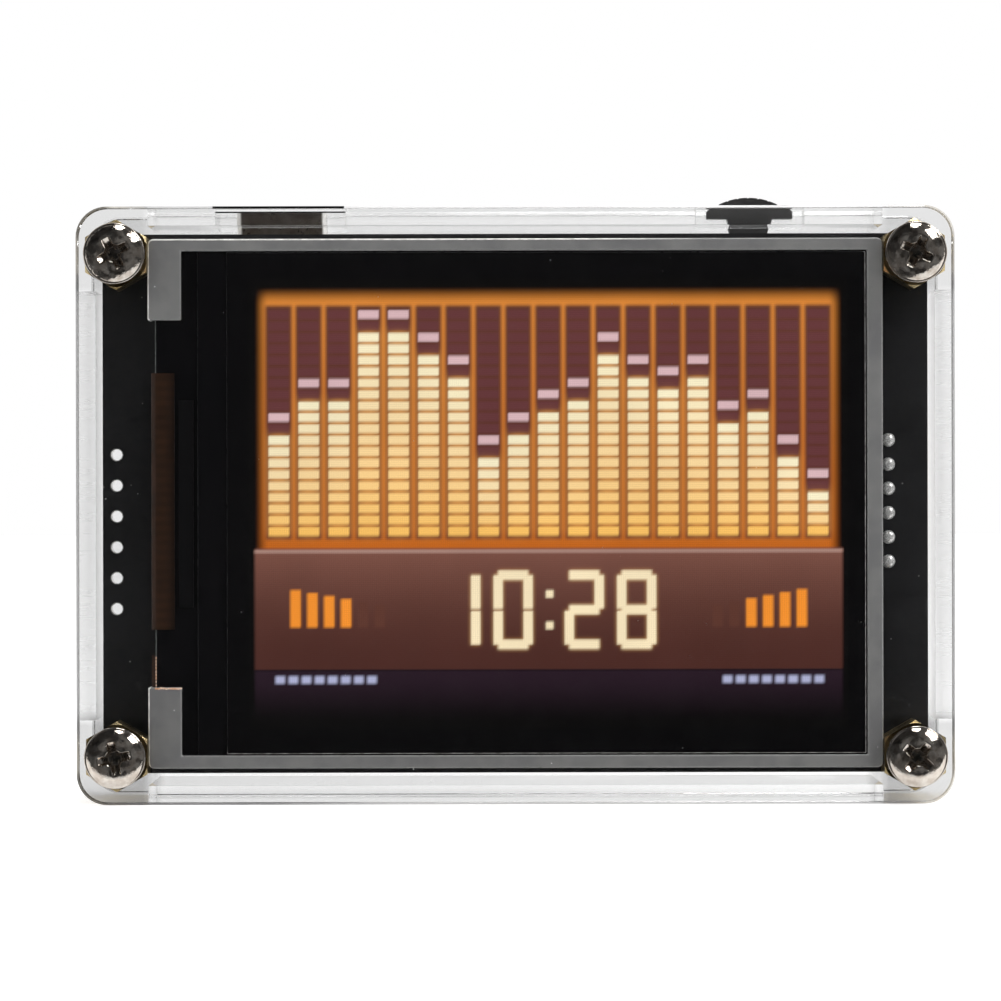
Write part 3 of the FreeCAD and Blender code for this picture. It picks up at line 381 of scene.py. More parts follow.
def driver_silicon():
    """Bare silicon of the display driver: near black, with a slight sheen."""
    s = Shader("driver_silicon", srgb(10, 10, 12), 0.35, Specular_IOR_Level=0.2)
    s.tones(s.noise(1.5), srgb(10, 10, 12), srgb(13, 12, 14))
    s.roughness(s.noise(0.4), 0.32, 0.4)


def moulded(name, light, dark, grain=0.12, smooth=0.4, rough=0.55):
    """Moulded plastic with a fine spark grain."""
    s = Shader(name, light, rough)
    s.tones(s.noise(1.2, 4), light, dark)
    s.roughness(s.noise(0.5, 4), smooth, rough)
    s.bump(s.noise(grain), 0.008, 0.35)


def display_glass():
    """Display glass over its black border print."""
    s = Shader("display_glass", srgb(10, 10, 12), 0.06, Coat_Weight=0.3, Coat_Roughness=0.03)
    s.tones(s.noise(6), srgb(9, 9, 11), srgb(14, 13, 15))
    s.roughness(s.noise(1.5, 5), 0.05, 0.12)


def display_film():
    """Polarising film with a light haze and a few specks."""
    s = Shader("display_film", srgb(9, 9, 10), 0.2)
    s.colour(s.mix(s.specks(1.7, 0.05, 0.2), srgb(9, 8, 10), srgb(96, 94, 96)))
    s.roughness(s.noise(2, 4), 0.16, 0.26)
    s.bump(s.noise(0.08, 2), 0.002, 0.2)


FLEX_TRACKS_PER_MM = 2.5
# From the left: where the painted highlight along the amber film's bend ends, and where the painted shade
# under the edge of the glass starts
FLEX_PAINTED_HIGHLIGHT = (-29.5, -29.38)
FLEX_PAINTED_SHADE = (-28.7, -27.6)


def flex_amber():
    """Amber film over fine copper tracks that run across it; painted shade darkens it under the edge of the
    glass, and a paler painted highlight runs along its bend at the left.
    """
    s = Shader("flex_amber", srgb(50, 30, 16), 0.4, Specular_IOR_Level=0.15)
    inputs = {"Vector": s.place, "Scale": FLEX_TRACKS_PER_MM / MM / (2 * pi)}
    wave = s.add("TexWave", inputs, bands_direction="Z")
    tracks = s.spread(wave["Fac"], 0, 1, 0.3, 0.7)
    shade = s.mix(tracks, srgb(46, 27, 13), srgb(52, 31, 16))
    # Painted shade under the edge of the glass.
    shade = s.mix(s.ramp(s.axis("X"), 0, 1, *FLEX_PAINTED_SHADE), shade, srgb(14, 9, 7))
    shade = s.mix(s.spread(s.noise(3), 0, 0.5), shade, srgb(36, 22, 12))
    # Painted highlight: the pale strip along the film's bend.
    flex_bend_highlight = s.shades(s.noise(2), srgb(62, 45, 37), srgb(48, 37, 31))
    s.colour(s.mix(s.ramp(s.axis("X"), 1, 0, *FLEX_PAINTED_HIGHLIGHT), shade, flex_bend_highlight))
    s.roughness(s.noise(0.6, 4), 0.34, 0.48)
    s.bump(tracks, 0.01, 0.3)


def lit_white(name, light, dark, rough):
    """White moulding or film of the backlight."""
    s = Shader(name, light, rough)
    s.tones(s.noise(3), light, dark)
    s.roughness(s.noise(0.8), rough - 0.08, rough + 0.08)
    s.bump(s.noise(0.1, 2), 0.003, 0.2)


def light_guide():
    """Clear moulded sheet that spreads the backlight."""
    s = Shader("light_guide", (0.95, 0.96, 0.96, 1), 0.05, IOR=1.49, Transmission_Weight=1)
    s.roughness(s.noise(0.6), 0.03, 0.12)
    s.bump(s.noise(0.3, 2), 0.004, 0.3)
    s.let_lamps_through()


def felt():
    """Thin black felt: soft fibres."""
    s = Shader("felt", srgb(24, 23, 24), 0.95, Sheen_Weight=0.3)
    fibres = s.noise(0.08, 5, 0.7)
    s.tones(fibres, srgb(16, 15, 16), srgb(42, 40, 41))
    s.bump(fibres, 0.05, 0.8)


def foam():
    """Black foam tape with open cells."""
    s = Shader("foam", srgb(22, 22, 22), 0.9)
    cells = s.noise(0.15, 2)
    s.tones(cells, srgb(14, 14, 14), srgb(34, 34, 34))
    s.bump(cells, 0.05, 0.7)


def drawn_can():
    """Bright drawn aluminium can."""
    s = Shader("can_aluminium", srgb(206, 206, 208), 0.25, 1)
    marks = s.noise(0.1, 3, 0.5, (1, 0.1, 1))
    s.tones(s.noise(1.5), srgb(212, 212, 214), srgb(184, 184, 187))
    s.roughness(marks, 0.2, 0.36)
    s.bump(marks, 0.004, 0.3)


def steel(name, light, dark, smooth=0.2, rough=0.36):
    """Pressed bright steel with a fine rolled grain."""
    s = Shader(name, light, smooth, 1)
    marks = s.noise(0.12, 3, 0.6, (0.15, 1, 1))
    s.tones(s.noise(1), light, dark)
    s.roughness(marks, smooth, rough)
    s.bump(marks, 0.003, 0.3)


def folded_shell():
    """Dull plated shell of the inlet, with a near white painted highlight on its folded bends."""
    s = Shader("shell_steel", srgb(150, 143, 134), 0.3, 1)
    flat = s.facing("Y")
    bend_highlight = s.times(s.spread(flat, 0, 1, 0.04, 0.2), s.spread(flat, 1, 0, 0.9, 0.99))
    dull = s.shades(s.noise(0.8, 4), srgb(150, 142, 133), srgb(128, 116, 106))
    # Painted highlight: near white, and barely metallic, on the bends.
    s.colour(s.mix(bend_highlight, dull, srgb(244, 243, 240)))
    s.drive("Metallic", s.spread(bend_highlight, 1, 0.15, 0, 1))
    s.roughness(s.noise(0.3, 4), 0.26, 0.4)
    s.bump(s.noise(0.5), 0.01, 0.3)


def fired(name, light, dark, smooth, rough):
    """Fired ceramic."""
    s = Shader(name, light, rough)
    s.tones(s.noise(0.3, 4), light, dark)
    s.roughness(s.noise(0.2), smooth, rough)
    s.bump(s.noise(0.08), 0.006, 0.3)


clear_acrylic("clear_acrylic", "Y", 0.05)
bright_nickel()
brass()
board_black()
tinned("tin", srgb(214, 213, 208), srgb(188, 186, 180), 0.22, 0.38)
tinned("solder", srgb(240, 240, 238), srgb(216, 216, 214), 0.2, 0.34, 0.6)
moulded("connector_cream", srgb(226, 218, 196), srgb(214, 204, 180))
bezel_steel()
display_glass()
display_film()
flex_amber()
lit_white("backlight_white", srgb(236, 236, 234), srgb(222, 222, 220), 0.5)
light_guide()
lit_white("diffuser", srgb(244, 242, 236), srgb(234, 231, 224), 0.6)
foam()
lit_white("led_phosphor", srgb(238, 226, 140), srgb(226, 210, 116), 0.4)
folded_shell()
moulded("black_plastic", srgb(34, 34, 35), srgb(26, 26, 27))
moulded("lever_plastic", srgb(58, 58, 58), srgb(46, 46, 46), 0.1)
moulded("chip_epoxy", srgb(33, 33, 35), srgb(25, 25, 27), 0.08, 0.45, 0.6)
steel("spring_steel", srgb(196, 195, 192), srgb(172, 171, 168))
steel("cell_steel", srgb(206, 205, 200), srgb(180, 179, 174))
drawn_can()
felt()
fired("ceramic_tan", srgb(186, 152, 110), srgb(160, 126, 88), 0.35, 0.5)
fired("resistor_black", srgb(36, 36, 40), srgb(26, 26, 30), 0.25, 0.4)
driver_silicon()

RIM_WIDTH = 0.2
BEZEL_HIGHLIGHT_FADE = (5, 15)


def rim_boxes(node, *sides):
    """Boxes in millimetres round the named sides of a node's front outline, which hold an edge's painted
    highlight.
    """
    low, high = box_mm(node)
    lines = {"left": (0, low.x), "right": (0, high.x), "bottom": (2, low.z), "top": (2, high.z)}
    boxes = []
    for side in sides:
        axis, place = lines[side]
        start = low - Vector((1, 1, 1))
        end = high + Vector((1, 1, 1))
        start[axis] = place - RIM_WIDTH
        end[axis] = place + RIM_WIDTH
        boxes.append((start, end))
    return boxes


# Painted highlight: the bezel's rounded edge is near white along its top and left rims, fading to the right,
# and dull grey elsewhere.
edge_wear_and_highlight("bezel_edge_highlight", srgb(250, 248, 244), srgb(206, 204, 200), 0.15,
          srgb(142, 142, 141), rim_boxes("display_bezel", "top", "left"), BEZEL_HIGHLIGHT_FADE)
edge_wear_and_highlight("rear_glass_edge", srgb(92, 96, 94), srgb(66, 70, 68), 0)
edge_wear_and_highlight("front_glass_edge", srgb(24, 25, 26), srgb(18, 18, 20), 0)
# Painted highlight: a light line along the polarising film's bottom and right edges, dark elsewhere.
edge_wear_and_highlight("film_edge_highlight", srgb(190, 188, 186), srgb(116, 112, 112), 0,
          srgb(28, 28, 29), rim_boxes("display_polarizer", "bottom", "right"))

# Painted shade: a dark line painted on the front plate's upper edge and on the top strip, where the edge of
# the inlet's slot looks dark.
LINE_LEFT = -24.6
LINE_RIGHT = -13.9
LINE_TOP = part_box("top_wall")[1].z / MM - 0.2
LINE_HEIGHT = 0.13
SLOT_FRONT = -3.1
PLATE_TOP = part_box("front_plate")[1].z / MM
FRONT_PAINTED_SHADE_LINE = ((LINE_LEFT, -PLATE_FACE - 0.1, PLATE_TOP - 0.2),
              (LINE_RIGHT, -PLATE_FACE + 0.2, PLATE_TOP + 0.1))
SLOT_PAINTED_SHADE_LINE = ((LINE_LEFT, SLOT_FRONT - 0.1, LINE_TOP - LINE_HEIGHT), (LINE_RIGHT, SLOT_FRONT + 0.1, LINE_TOP))


def clear_strip(name, sheet_axis, cut_rough, ior=1.4, **extra):
    """Clear acrylic of a side strip, whose bevels stay pale."""
    clear_acrylic(name, sheet_axis, cut_rough, 1, 0.9, 0.95, ior=ior, ripple=0.08, **extra)


clear_acrylic("clear_acrylic_front", "Y", 0.05, dark_line=FRONT_PAINTED_SHADE_LINE)
clear_acrylic("clear_acrylic_back", "Y", 0.05, bevel_shade=0.8, bevel_clear=0.85)
clear_strip("clear_acrylic_top", "Z", 0.12, dark_line=SLOT_PAINTED_SHADE_LINE)
clear_strip("clear_acrylic_low", "Z", 0.04)
clear_strip("clear_acrylic_side", "X", 0.35, 1.3, scuffed=0.6)

MATERIAL_OF = {part["node"]: part["material_slot"] for part in frame["record"]["subparts"]}
SLOT_OF = dict(MATERIAL_OF)
MATERIAL_OF.update(display_driver_chip="driver_silicon", front_plate="clear_acrylic_front",
                   back_plate="clear_acrylic_back")
for node_name, material_name in MATERIAL_OF.items():
    kept_mesh = nodes[node_name].data
    kept_mesh.materials.clear()
    kept_mesh.materials.append(MATERIALS[material_name])


# Pieces that replace the plain solids

def new_object(name, data):
    piece = bpy.data.objects.new(name, data)
    bpy.context.scene.collection.objects.link(piece)
    return piece


def add_piece(name, mesh, material, body, slot, replaced=(), smooth_angle=35):
    """New piece, shaded smooth except at edges sharper than the angle."""
    mesh.shade_smooth()
    mesh.set_sharp_from_angle(angle=radians(smooth_angle))
    mesh.materials.clear()
    mesh.materials.append(MATERIALS[material])
    piece = new_object(name, mesh)
    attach(piece, body)
    if replaced:
        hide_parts(*replaced)
    return piece


BODY_OF = {"switch_carrier": "push_carrier", "lever_pin": "push_carrier",
           "centring_spring": "push_carrier", "lever": "lever"}


def rounded(node, radius, steps=2, squeeze=0, material=None, edge_material=None):
    """The same shape as a node, with its sharp edges rounded over; squeeze draws it in along Y."""
    work = bmesh.new()
    work.from_mesh(nodes[node].data)
    bmesh.ops.remove_doubles(work, verts=work.verts, dist=0.001 * MM)
    bmesh.ops.dissolve_limit(work, angle_limit=radians(1), verts=work.verts, edges=work.edges)
    for vertex in work.verts:
        vertex.co.y -= copysign(squeeze * MM, vertex.co.y)
    sharp = [edge for edge in work.edges
             if len(edge.link_faces) == 2 and edge.calc_face_angle() > radians(30)]
    made = bmesh.ops.bevel(work, geom=sharp, offset=radius * MM, offset_type="OFFSET", segments=steps,
                           profile=0.5, affect="EDGES", clamp_overlap=True)
    bevel_faces = set(made["faces"])
    numbers = [int(face in bevel_faces) for face in work.faces]
    mesh = bpy.data.meshes.new(node + "_rounded")
    work.to_mesh(mesh)
    work.free()
    slot = SLOT_OF[node]
    body = BODY_OF.get(node, "case")
    piece = add_piece(node + "_rounded", mesh, material or slot, body, slot, (node,), 40)
    if edge_material:
        mesh.materials.append(MATERIALS[edge_material])
        mesh.polygons.foreach_set("material_index", numbers)
    piece.modifiers.new("flat_faces", "WEIGHTED_NORMAL").keep_sharp = True


ROUNDING = {
    "usb_shell": 0.08, "switch_cover": 0.06, "lever": 0.05, "switch_base": 0.06,
    "connector_body": 0.08, "microcontroller": 0.08, "memory_chip": 0.08, "clock_chip": 0.08,
    "voltage_regulator": 0.08, "coin_cell_clip": 0.06, "crystal_base": 0.06, "capacitor_bases": 0.12,
    "ceramic_capacitors": 0.06, "resistors": 0.04, "chip_terminals": 0.04, "switch_terminals": 0.04,
    "foam_tape": 0.05, "backlight_frame": 0.06,
}
for node_name, edge_radius in ROUNDING.items():
    rounded(node_name, edge_radius)
rounded("display_bezel", 0.14, 3, edge_material="bezel_edge_highlight")
rounded("display_rear_glass", 0.1, edge_material="rear_glass_edge")
rounded("display_front_glass", 0.06, edge_material="front_glass_edge")
rounded("display_polarizer", 0.05, edge_material="film_edge_highlight")
for wall, strip in (("top", "top"), ("bottom", "low"), ("left", "side"), ("right", "side")):
    rounded(wall + "_wall", 0.012, 1, squeeze=0.02, material="clear_acrylic_" + strip)


# Pieces built up from rings of points

class Skin:
    """Points and faces of a new piece of the case."""

    def __init__(self):
        self.points = []
        self.faces = []

    def loft(self, rows, close_start=False, close_end=False):
        """Join rings of points, in millimetres, into a skin."""
        first = sum(len(row) for row in self.points)
        count = len(rows[0])
        self.points.extend(np.array(row) * MM for row in rows)
        for row in range(len(rows) - 1):
            low = first + row * count
            for step in range(count):
                after = (step + 1) % count
                self.faces.append((low + step, low + after, low + count + after, low + count + step))
        if close_start:
            self.faces.append(tuple(first + step for step in reversed(range(count))))
        if close_end:
            last = first + (len(rows) - 1) * count
            self.faces.append(tuple(last + step for step in range(count)))

    def make(self, name, material, slot, *extra):
        mesh = bpy.data.meshes.new(name)
        mesh.from_pydata(np.concatenate(self.points).tolist(), [], self.faces)
        mesh.validate()
        add_piece(name, mesh, material, "case", slot, *extra)


def circle(count):
    """Angles of evenly spaced points round a circle."""
    return np.linspace(0, 2 * pi, count, endpoint=False)


def ring(angle, radius, y, x=0, z=0):
    """Points round a line that runs from front to back."""
    return np.stack([x + radius * np.cos(angle), np.full(len(angle), y), z + radius * np.sin(angle)], axis=1)


# Screws

HEAD_RADIUS = 2.5
HEAD_HEIGHT = 1.7
HEAD_RIM = 0.55
RECESS_REACH = 1.4
RECESS_FLOOR_REACH = 0.5
RECESS_HALF_WIDTH = 0.31
RECESS_DEPTH = 1.15
# From the middle of the head: where the recess's hollow centre starts to rise, and where it ends
RECESS_CENTRE = (0.35, 0.78)
THREAD_RADIUS = 1.2
THREAD_DEPTH = 0.2
THREAD_PITCH = 0.45
THREAD_RINGS_PER_TURN = 8
SCREW_LENGTH = 5
SCREW_X = 32.6
SCREW_Z = 20.5
HEAD_SHOULDER = 0.14
HEAD_POINTS = 192
THREAD_POINTS = 48
HEAD_TURNS = {"front_screws": (28, 64, 12, 50), "rear_screws": (5, 71, 40, 22)}


def recess(x, z, turn):
    """Depth of the cross recess below the crown, in millimetres."""
    angle = radians(turn)
    along = x * cos(angle) + z * sin(angle)
    across = z * cos(angle) - x * sin(angle)

    def wing(a, b):
        slope = np.clip((RECESS_REACH - np.abs(a)) / (RECESS_REACH - RECESS_FLOOR_REACH), 0, 1)
        side = 1 - smooth_step(RECESS_HALF_WIDTH - 0.1, RECESS_HALF_WIDTH + 0.07, np.abs(b))
        return RECESS_DEPTH * slope * side

    centre = 0.8 * RECESS_DEPTH * (1 - smooth_step(*RECESS_CENTRE, np.hypot(x, z)))
    return np.maximum(np.maximum(wing(along, across), wing(across, along)), centre)


def head_rows(turn):
    """Rings of points over the crown, round the shoulder and under the head."""
    dome = HEAD_HEIGHT - HEAD_RIM
    ball = (HEAD_RADIUS ** 2 + dome ** 2) / (2 * dome)
    crown = HEAD_RADIUS - HEAD_SHOULDER
    angle = circle(HEAD_POINTS)

    def dome_height(radius):
        return HEAD_HEIGHT - ball + sqrt(ball ** 2 - radius ** 2)

    rows = []
    for radius in np.concatenate([np.arange(0.02, 1.5, 0.04), np.linspace(1.52, crown, 12)]):
        depth = recess(radius * np.cos(angle), radius * np.sin(angle), turn)
        rows.append(ring(angle, radius, depth - dome_height(radius)))
    for step in range(1, 6):
        bend = radians(90 * step / 5)
        drop = HEAD_SHOULDER * (1 - cos(bend)) * 1.2
        rows.append(ring(angle, crown + HEAD_SHOULDER * sin(bend), drop - dome_height(crown)))
    for radius, height in ((HEAD_RADIUS, 0.12), (HEAD_RADIUS - 0.04, 0.03), (HEAD_RADIUS - 0.12, 0),
                           (THREAD_RADIUS - 0.1, 0)):
        rows.append(ring(angle, radius, -height))
    return rows


def thread_rows():
    """Rings of points down the shank, with a helical thread worked into their radius."""
    angle = circle(THREAD_POINTS)
    rows = []
    for y in np.arange(0, SCREW_LENGTH + 0.001, THREAD_PITCH / THREAD_RINGS_PER_TURN):
        phase = (y / THREAD_PITCH - angle / (2 * pi)) % 1
        ridge = 1 - np.abs(2 * phase - 1)
        radius = THREAD_RADIUS - THREAD_DEPTH + THREAD_DEPTH * ridge
        radius = np.minimum(radius, THREAD_RADIUS - 0.3 + max(0, SCREW_LENGTH - y))
        rows.append(ring(angle, radius, y))
    return rows


def screw_set(node, facing):
    """Four screws; facing is -1 for heads towards the front and 1 for the back."""
    skin = Skin()
    thread = thread_rows()
    places = [(x, z) for z in (SCREW_Z, -SCREW_Z) for x in (-SCREW_X, SCREW_X)]
    aim = np.array([-facing, -facing, 1])
    for (x, z), turn in zip(places, HEAD_TURNS[node]):
        shift = np.array([x, facing * PLATE_FACE, CASE_MID_Z + z])
        skin.loft([row * aim + shift for row in head_rows(turn)], close_start=True)
        skin.loft([row * aim + shift for row in thread], close_end=True)
    skin.make(node + "_threaded", "bright_nickel", "bright_nickel", (node,), 60)


screw_set("front_screws", -1)
screw_set("rear_screws", 1)


# Copper foil edge beside the lower tab of the bezel

TAB_HEIGHT = 6.65
FLAKE_CORNERS = 7
FLAKE_THICKNESS = 0.03
SIDE_FLAKES = 9
SIDE_FLAKE_PITCH = 0.28
TOP_FLAKES = 11
TOP_FLAKE_PITCH = 0.2
FILM_WIDTH = 0.28
FILM_LENGTH = 2.6
FILM_THICKNESS = 0.02
FILM_STEPS = 14


def flake(skin, x, z, width, height, face, chooser):
    """Small ragged flake of metal lying on a surface that faces the front."""
    reach = np.array([chooser.uniform(0.75, 1.2) for corner in range(FLAKE_CORNERS)])
    angle = circle(FLAKE_CORNERS)
    rows = []
    for level in (face, face - FLAKE_THICKNESS):
        row = ring(angle, reach, level)
        rows.append(row * (width / 2, 1, height / 2) + (x, 0, z))
    skin.loft(rows, close_end=True)


def foil_edge():
    """Frayed copper edge up the side of the glass and along the top of the lower tab: copper flakes whose
    near white tone is a painted glint.
    """
    glass = box_mm("display_rear_glass")[0]
    bezel = box_mm("display_bezel")[0]
    tab_top = bezel.z + TAB_HEIGHT
    chooser = random.Random(4)
    skin = Skin()
    for number in range(SIDE_FLAKES):
        z = tab_top + 0.15 + number * SIDE_FLAKE_PITCH
        flake(skin, glass.x + 0.05, z, 0.12, 0.2, glass.y, chooser)
    for number in range(TOP_FLAKES):
        z = tab_top - 0.09 + chooser.uniform(-0.03, 0.03)
        flake(skin, glass.x + 0.12 + number * TOP_FLAKE_PITCH, z, 0.25, 0.18, bezel.y, chooser)
    # Painted glint: the copper flakes are given a near white, barely metallic tone.
    edge_wear_and_highlight("copper_foil", srgb(255, 234, 216), srgb(232, 168, 124), 0.1)
    skin.make("copper_foil_edge", "copper_foil", "flex_amber")


def foil_film():
    """Brown film that the copper edge belongs to, between the glass and the rim of the module."""
    glass = box_mm("display_rear_glass")[0]
    tab_top = box_mm("display_bezel")[0].z + TAB_HEIGHT
    rows = []
    for step in range(FILM_STEPS + 1):
        z = tab_top + FILM_LENGTH * step / FILM_STEPS
        left = glass.x - FILM_WIDTH + 0.02 * sin(step * 1.7)
        right = glass.x - 0.01
        rows.append([(left, glass.y, z), (left, glass.y - FILM_THICKNESS, z),
                     (right, glass.y - FILM_THICKNESS, z), (right, glass.y, z)])
    skin = Skin()
    skin.loft(rows, True, True)
    moulded("brown_film", srgb(64, 38, 22), srgb(46, 26, 15))
    skin.make("foil_film", "brown_film", "flex_amber")


foil_edge()
foil_film()


# Tracks, vias and outlines on the back of the board

BOARD_BACK = -1.2
BOARD_TOP = 46.7
TRACK_WIDTH = 0.2
TRACK_RISE = 0.025
INK_WIDTH = 0.15
INK_RISE = 0.012
VIA_RADIUS = 0.3
VIA_BORE = 0.15
VIA_COUNT = 44
VIA_SPACING = 1.4
VIA_ROOM = 0.6
BOARD_MARGIN_X = 31
BOARD_MARGIN_Z = (4.5, 44.5)
# Parts that vias keep clear of
VIAS_AVOID = ("microcontroller_legs", "memory_chip_legs", "clock_chip_legs", "regulator_legs", "coin_cell",
              "coin_cell_clip", "microphone", "capacitor_bases", "crystal_base", "clock_crystal", "usb_shell",
              "switch_cover", "connector_body")
# Parts with corner brackets: the room round each part and the length of a bracket's arm
OUTLINED = (("microcontroller_legs", 0.35, 1.2), ("memory_chip", 0.4, 0.9), ("clock_chip", 0.4, 0.9),
            ("voltage_regulator", 0.4, 1), ("crystal_base", 0.4, 1.4), ("connector_body", 0.4, 1.6),
            ("clock_crystal", 0.4, 0.7), ("switch_cover", 0.5, 1.6))

# Each group of tracks: how many, how far apart, and the bent line that their middle follows
TRACK_GROUPS = (
    (6, 0.5, ((-9.5, 28.5), (-11.6, 28.5), (-13.1, 27), (-14.6, 27))),
    (5, 0.5, ((-0.5, 30), (3, 30), (5.6, 32.6), (22.5, 32.6), (26.5, 28.6), (29.2, 28.6))),
    (4, 0.6, ((-3, 33.5), (-3, 34.2), (-2, 35.2), (12.6, 35.2), (17.6, 40.2))),
    (5, 0.5, ((-4, 24.5), (-4, 21), (1.6, 15.4), (4.8, 15.4), (5.6, 14.6))),
    (3, 0.65, ((-19.25, 42.1), (-19.25, 41.2), (-18, 39.95))),
    (2, 0.8, ((-20.6, 12), (-17, 12), (-8.4, 20.6), (-8.4, 24.4))),
    (6, 0.45, ((-32.3, 33), (-30, 35.3), (-24, 41.3), (-23, 41.3))),
    (3, 1.1, ((-31, 16.5), (-31, 22), (-28.5, 24.5), (-22, 24.5), (-20, 26.5))),
    (2, 1.4, ((20, 25), (24.5, 25), (27.5, 22), (29.2, 22))),
    (4, 0.7, ((8, 11.5), (14, 11.5), (18, 7.5), (27, 7.5))),
)


def offset_path(path, distance):
    """The same bent line moved sideways, with its corners kept."""
    spots = [Vector(spot) for spot in path]
    ways = [(after - before).normalized() for before, after in zip(spots, spots[1:])]
    moved = []
    for number, spot in enumerate(spots):
        before = ways[max(0, number - 1)]
        after = ways[min(len(ways) - 1, number)]
        side = Vector((-before.y - after.y, before.x + after.x)).normalized()
        moved.append(spot + side * distance / side.dot(Vector((-after.y, after.x))))
    return moved


def lay_line(skin, path, width, rise):
    """Flat raised line along a path on the back of the board."""
    edges = zip(offset_path(path, width / 2), offset_path(path, -width / 2))
    skin.loft([[(b.x, BOARD_BACK, b.y), (b.x, BOARD_BACK + rise, b.y),
                (a.x, BOARD_BACK + rise, a.y), (a.x, BOARD_BACK, a.y)] for a, b in edges], True, True)


def lay_ring(skin, x, z, outer, inner, rise, count=20):
    """Flat raised ring on the back of the board."""
    skin.loft([ring(-circle(count), radius, BOARD_BACK + level, x, z)
               for radius, level in ((outer, 0), (outer, rise), (inner, rise), (inner, 0))])


def board_tracks():
    """Copper tracks under the solder mask."""
    skin = Skin()
    for count, spacing, path in TRACK_GROUPS:
        for number in range(count):
            aside = (number - (count - 1) / 2) * spacing
            lay_line(skin, offset_path(path, aside), TRACK_WIDTH, TRACK_RISE)
    s = Shader("masked_copper", srgb(56, 56, 60), 0.4)
    s.tones(s.noise(3, 4), srgb(50, 50, 54), srgb(64, 64, 68))
    s.roughness(s.noise(0.8, 5), 0.34, 0.5)
    s.bump(s.noise(0.12), 0.004, 0.3)
    skin.make("board_tracks", "masked_copper", "board_black")


def board_vias():
    """Plated vias scattered over the free board."""
    chooser = random.Random(11)
    taken = [box_mm(node) for node in VIAS_AVOID]
    skin = Skin()
    placed = []
    while len(placed) < VIA_COUNT:
        x = chooser.uniform(-BOARD_MARGIN_X, BOARD_MARGIN_X)
        z = chooser.uniform(*BOARD_MARGIN_Z)
        under = any(low.x - VIA_ROOM < x < high.x + VIA_ROOM and low.z - VIA_ROOM < z < high.z + VIA_ROOM
                    for low, high in taken)
        if under or any(hypot(x - a, z - b) < VIA_SPACING for a, b in placed):
            continue
        placed.append((x, z))
        lay_ring(skin, x, z, VIA_RADIUS, VIA_BORE, TRACK_RISE)
    skin.make("board_vias", "tin", "tin")


def corner_marks(skin, low_x, low_z, high_x, high_z, room, arm, rows=2):
    """Corner brackets round a part: under it, and over it where there are two rows."""
    for x, way_x in ((low_x - room, 1), (high_x + room, -1)):
        for z, way_z in ((low_z - room, 1), (high_z + room, -1))[:rows]:
            path = ((x + way_x * arm, z), (x, z), (x, z + way_z * arm))
            lay_line(skin, path, INK_WIDTH, INK_RISE)


def board_outlines():
    """White printed outlines of the parts, with a dot at the first leg of each chip."""
    skin = Skin()
    for node, room, arm in OUTLINED:
        low, high = box_mm(node)
        rows = 2 if high.z + room < BOARD_TOP else 1
        corner_marks(skin, low.x, low.z, high.x, high.z, room, arm, rows)
    for node in ("microcontroller_legs", "memory_chip", "clock_chip"):
        high = box_mm(node)[1]
        lay_ring(skin, high.x + 1, high.z + 0.1, 0.28, 0.02, INK_RISE)
    for node, room in (("microphone", 0.5), ("coin_cell", 0.7)):
        low, high = box_mm(node)
        radius = (high.x - low.x) / 2 + room
        middle = (low + high) / 2
        lay_ring(skin, middle.x, middle.z, radius, radius - INK_WIDTH, INK_RISE, 72)
    low, high = box_mm("capacitor_bases")
    side = high.x - low.x
    for foot in (low.z, high.z - side):
        corner_marks(skin, low.x, foot, high.x, foot + side, 0.4, 1.5)
        x = high.x + 1.5
        z = foot + 1
        for path in (((x - 0.5, z), (x + 0.5, z)), ((x, z - 0.5), (x, z + 0.5))):
            lay_line(skin, path, INK_WIDTH, INK_RISE)
    moulded("board_ink", srgb(214, 213, 208), srgb(188, 187, 183), 0.1, 0.5, 0.7)
    skin.make("board_outlines", "board_ink", "backlight_white")


board_tracks()
board_vias()
board_outlines()


# Display picture: a made-up spectrum face, drawn on the display's own grid of 320 by 240 points

COLUMNS = 320
ROWS = 240
POINT_PITCH = 0.153 * MM
PICTURE_MIDDLE_X = 2.7 * MM
PICTURE_MIDDLE_Z = 24.47 * MM
PICTURE_LIFT = 0.003 * MM

BAR_COUNT = 19
BAR_PITCH = 16
BAR_WIDTH = 11
BAR_FLOOR = 103
BAR_TOP = 225
SEGMENT_PITCH = 6.1
SEGMENT_GAP = 1.6
BAND_BOTTOM = 31.5
BAND_TOP = 96
DIGIT_HEIGHT = 42
DIGIT_WIDTH = 21
DIGIT_STROKE = 5
PANEL_MARGIN = 7
BAND_MARGIN = 3
DIGIT_PITCH = 28
COLON_PITCH = 10
# Level marks at both sides of the time, and dashes under the band: where the outermost ones start
MARKS = 6
MARKS_LIT = 4
MARK_LEFT = 22
MARK_RIGHT = 292.5
MARK_PITCH = 9
MARK_WIDTH = 5.5
DASHES = 8
DASH_LEFT = 14
DASH_RIGHT = 302
DASH_PITCH = 7
DASH_WIDTH = 5
TIME_COLOUR = srgb(255, 236, 196)
TIME_SHOWN = "10:28"
SEGMENTS_LIT = {
    "0": "abcdef", "1": "bc", "2": "abged", "3": "abgcd", "4": "fgbc",
    "5": "afgcd", "6": "afgedc", "7": "abc", "8": "abcdefg", "9": "abcdfg",
}


def between(start, end, soft, values):
    """1 between two values and 0 beyond them, with soft edges."""
    return smooth_step(start - soft, start + soft, values) * (1 - smooth_step(end - soft, end + soft, values))


def graded(low, high, rise):
    """Colour that runs from low to high as rise goes from 0 to 1."""
    low = np.array(low[:3])
    return low + (np.array(high[:3]) - low) * np.asarray(rise)[..., None]


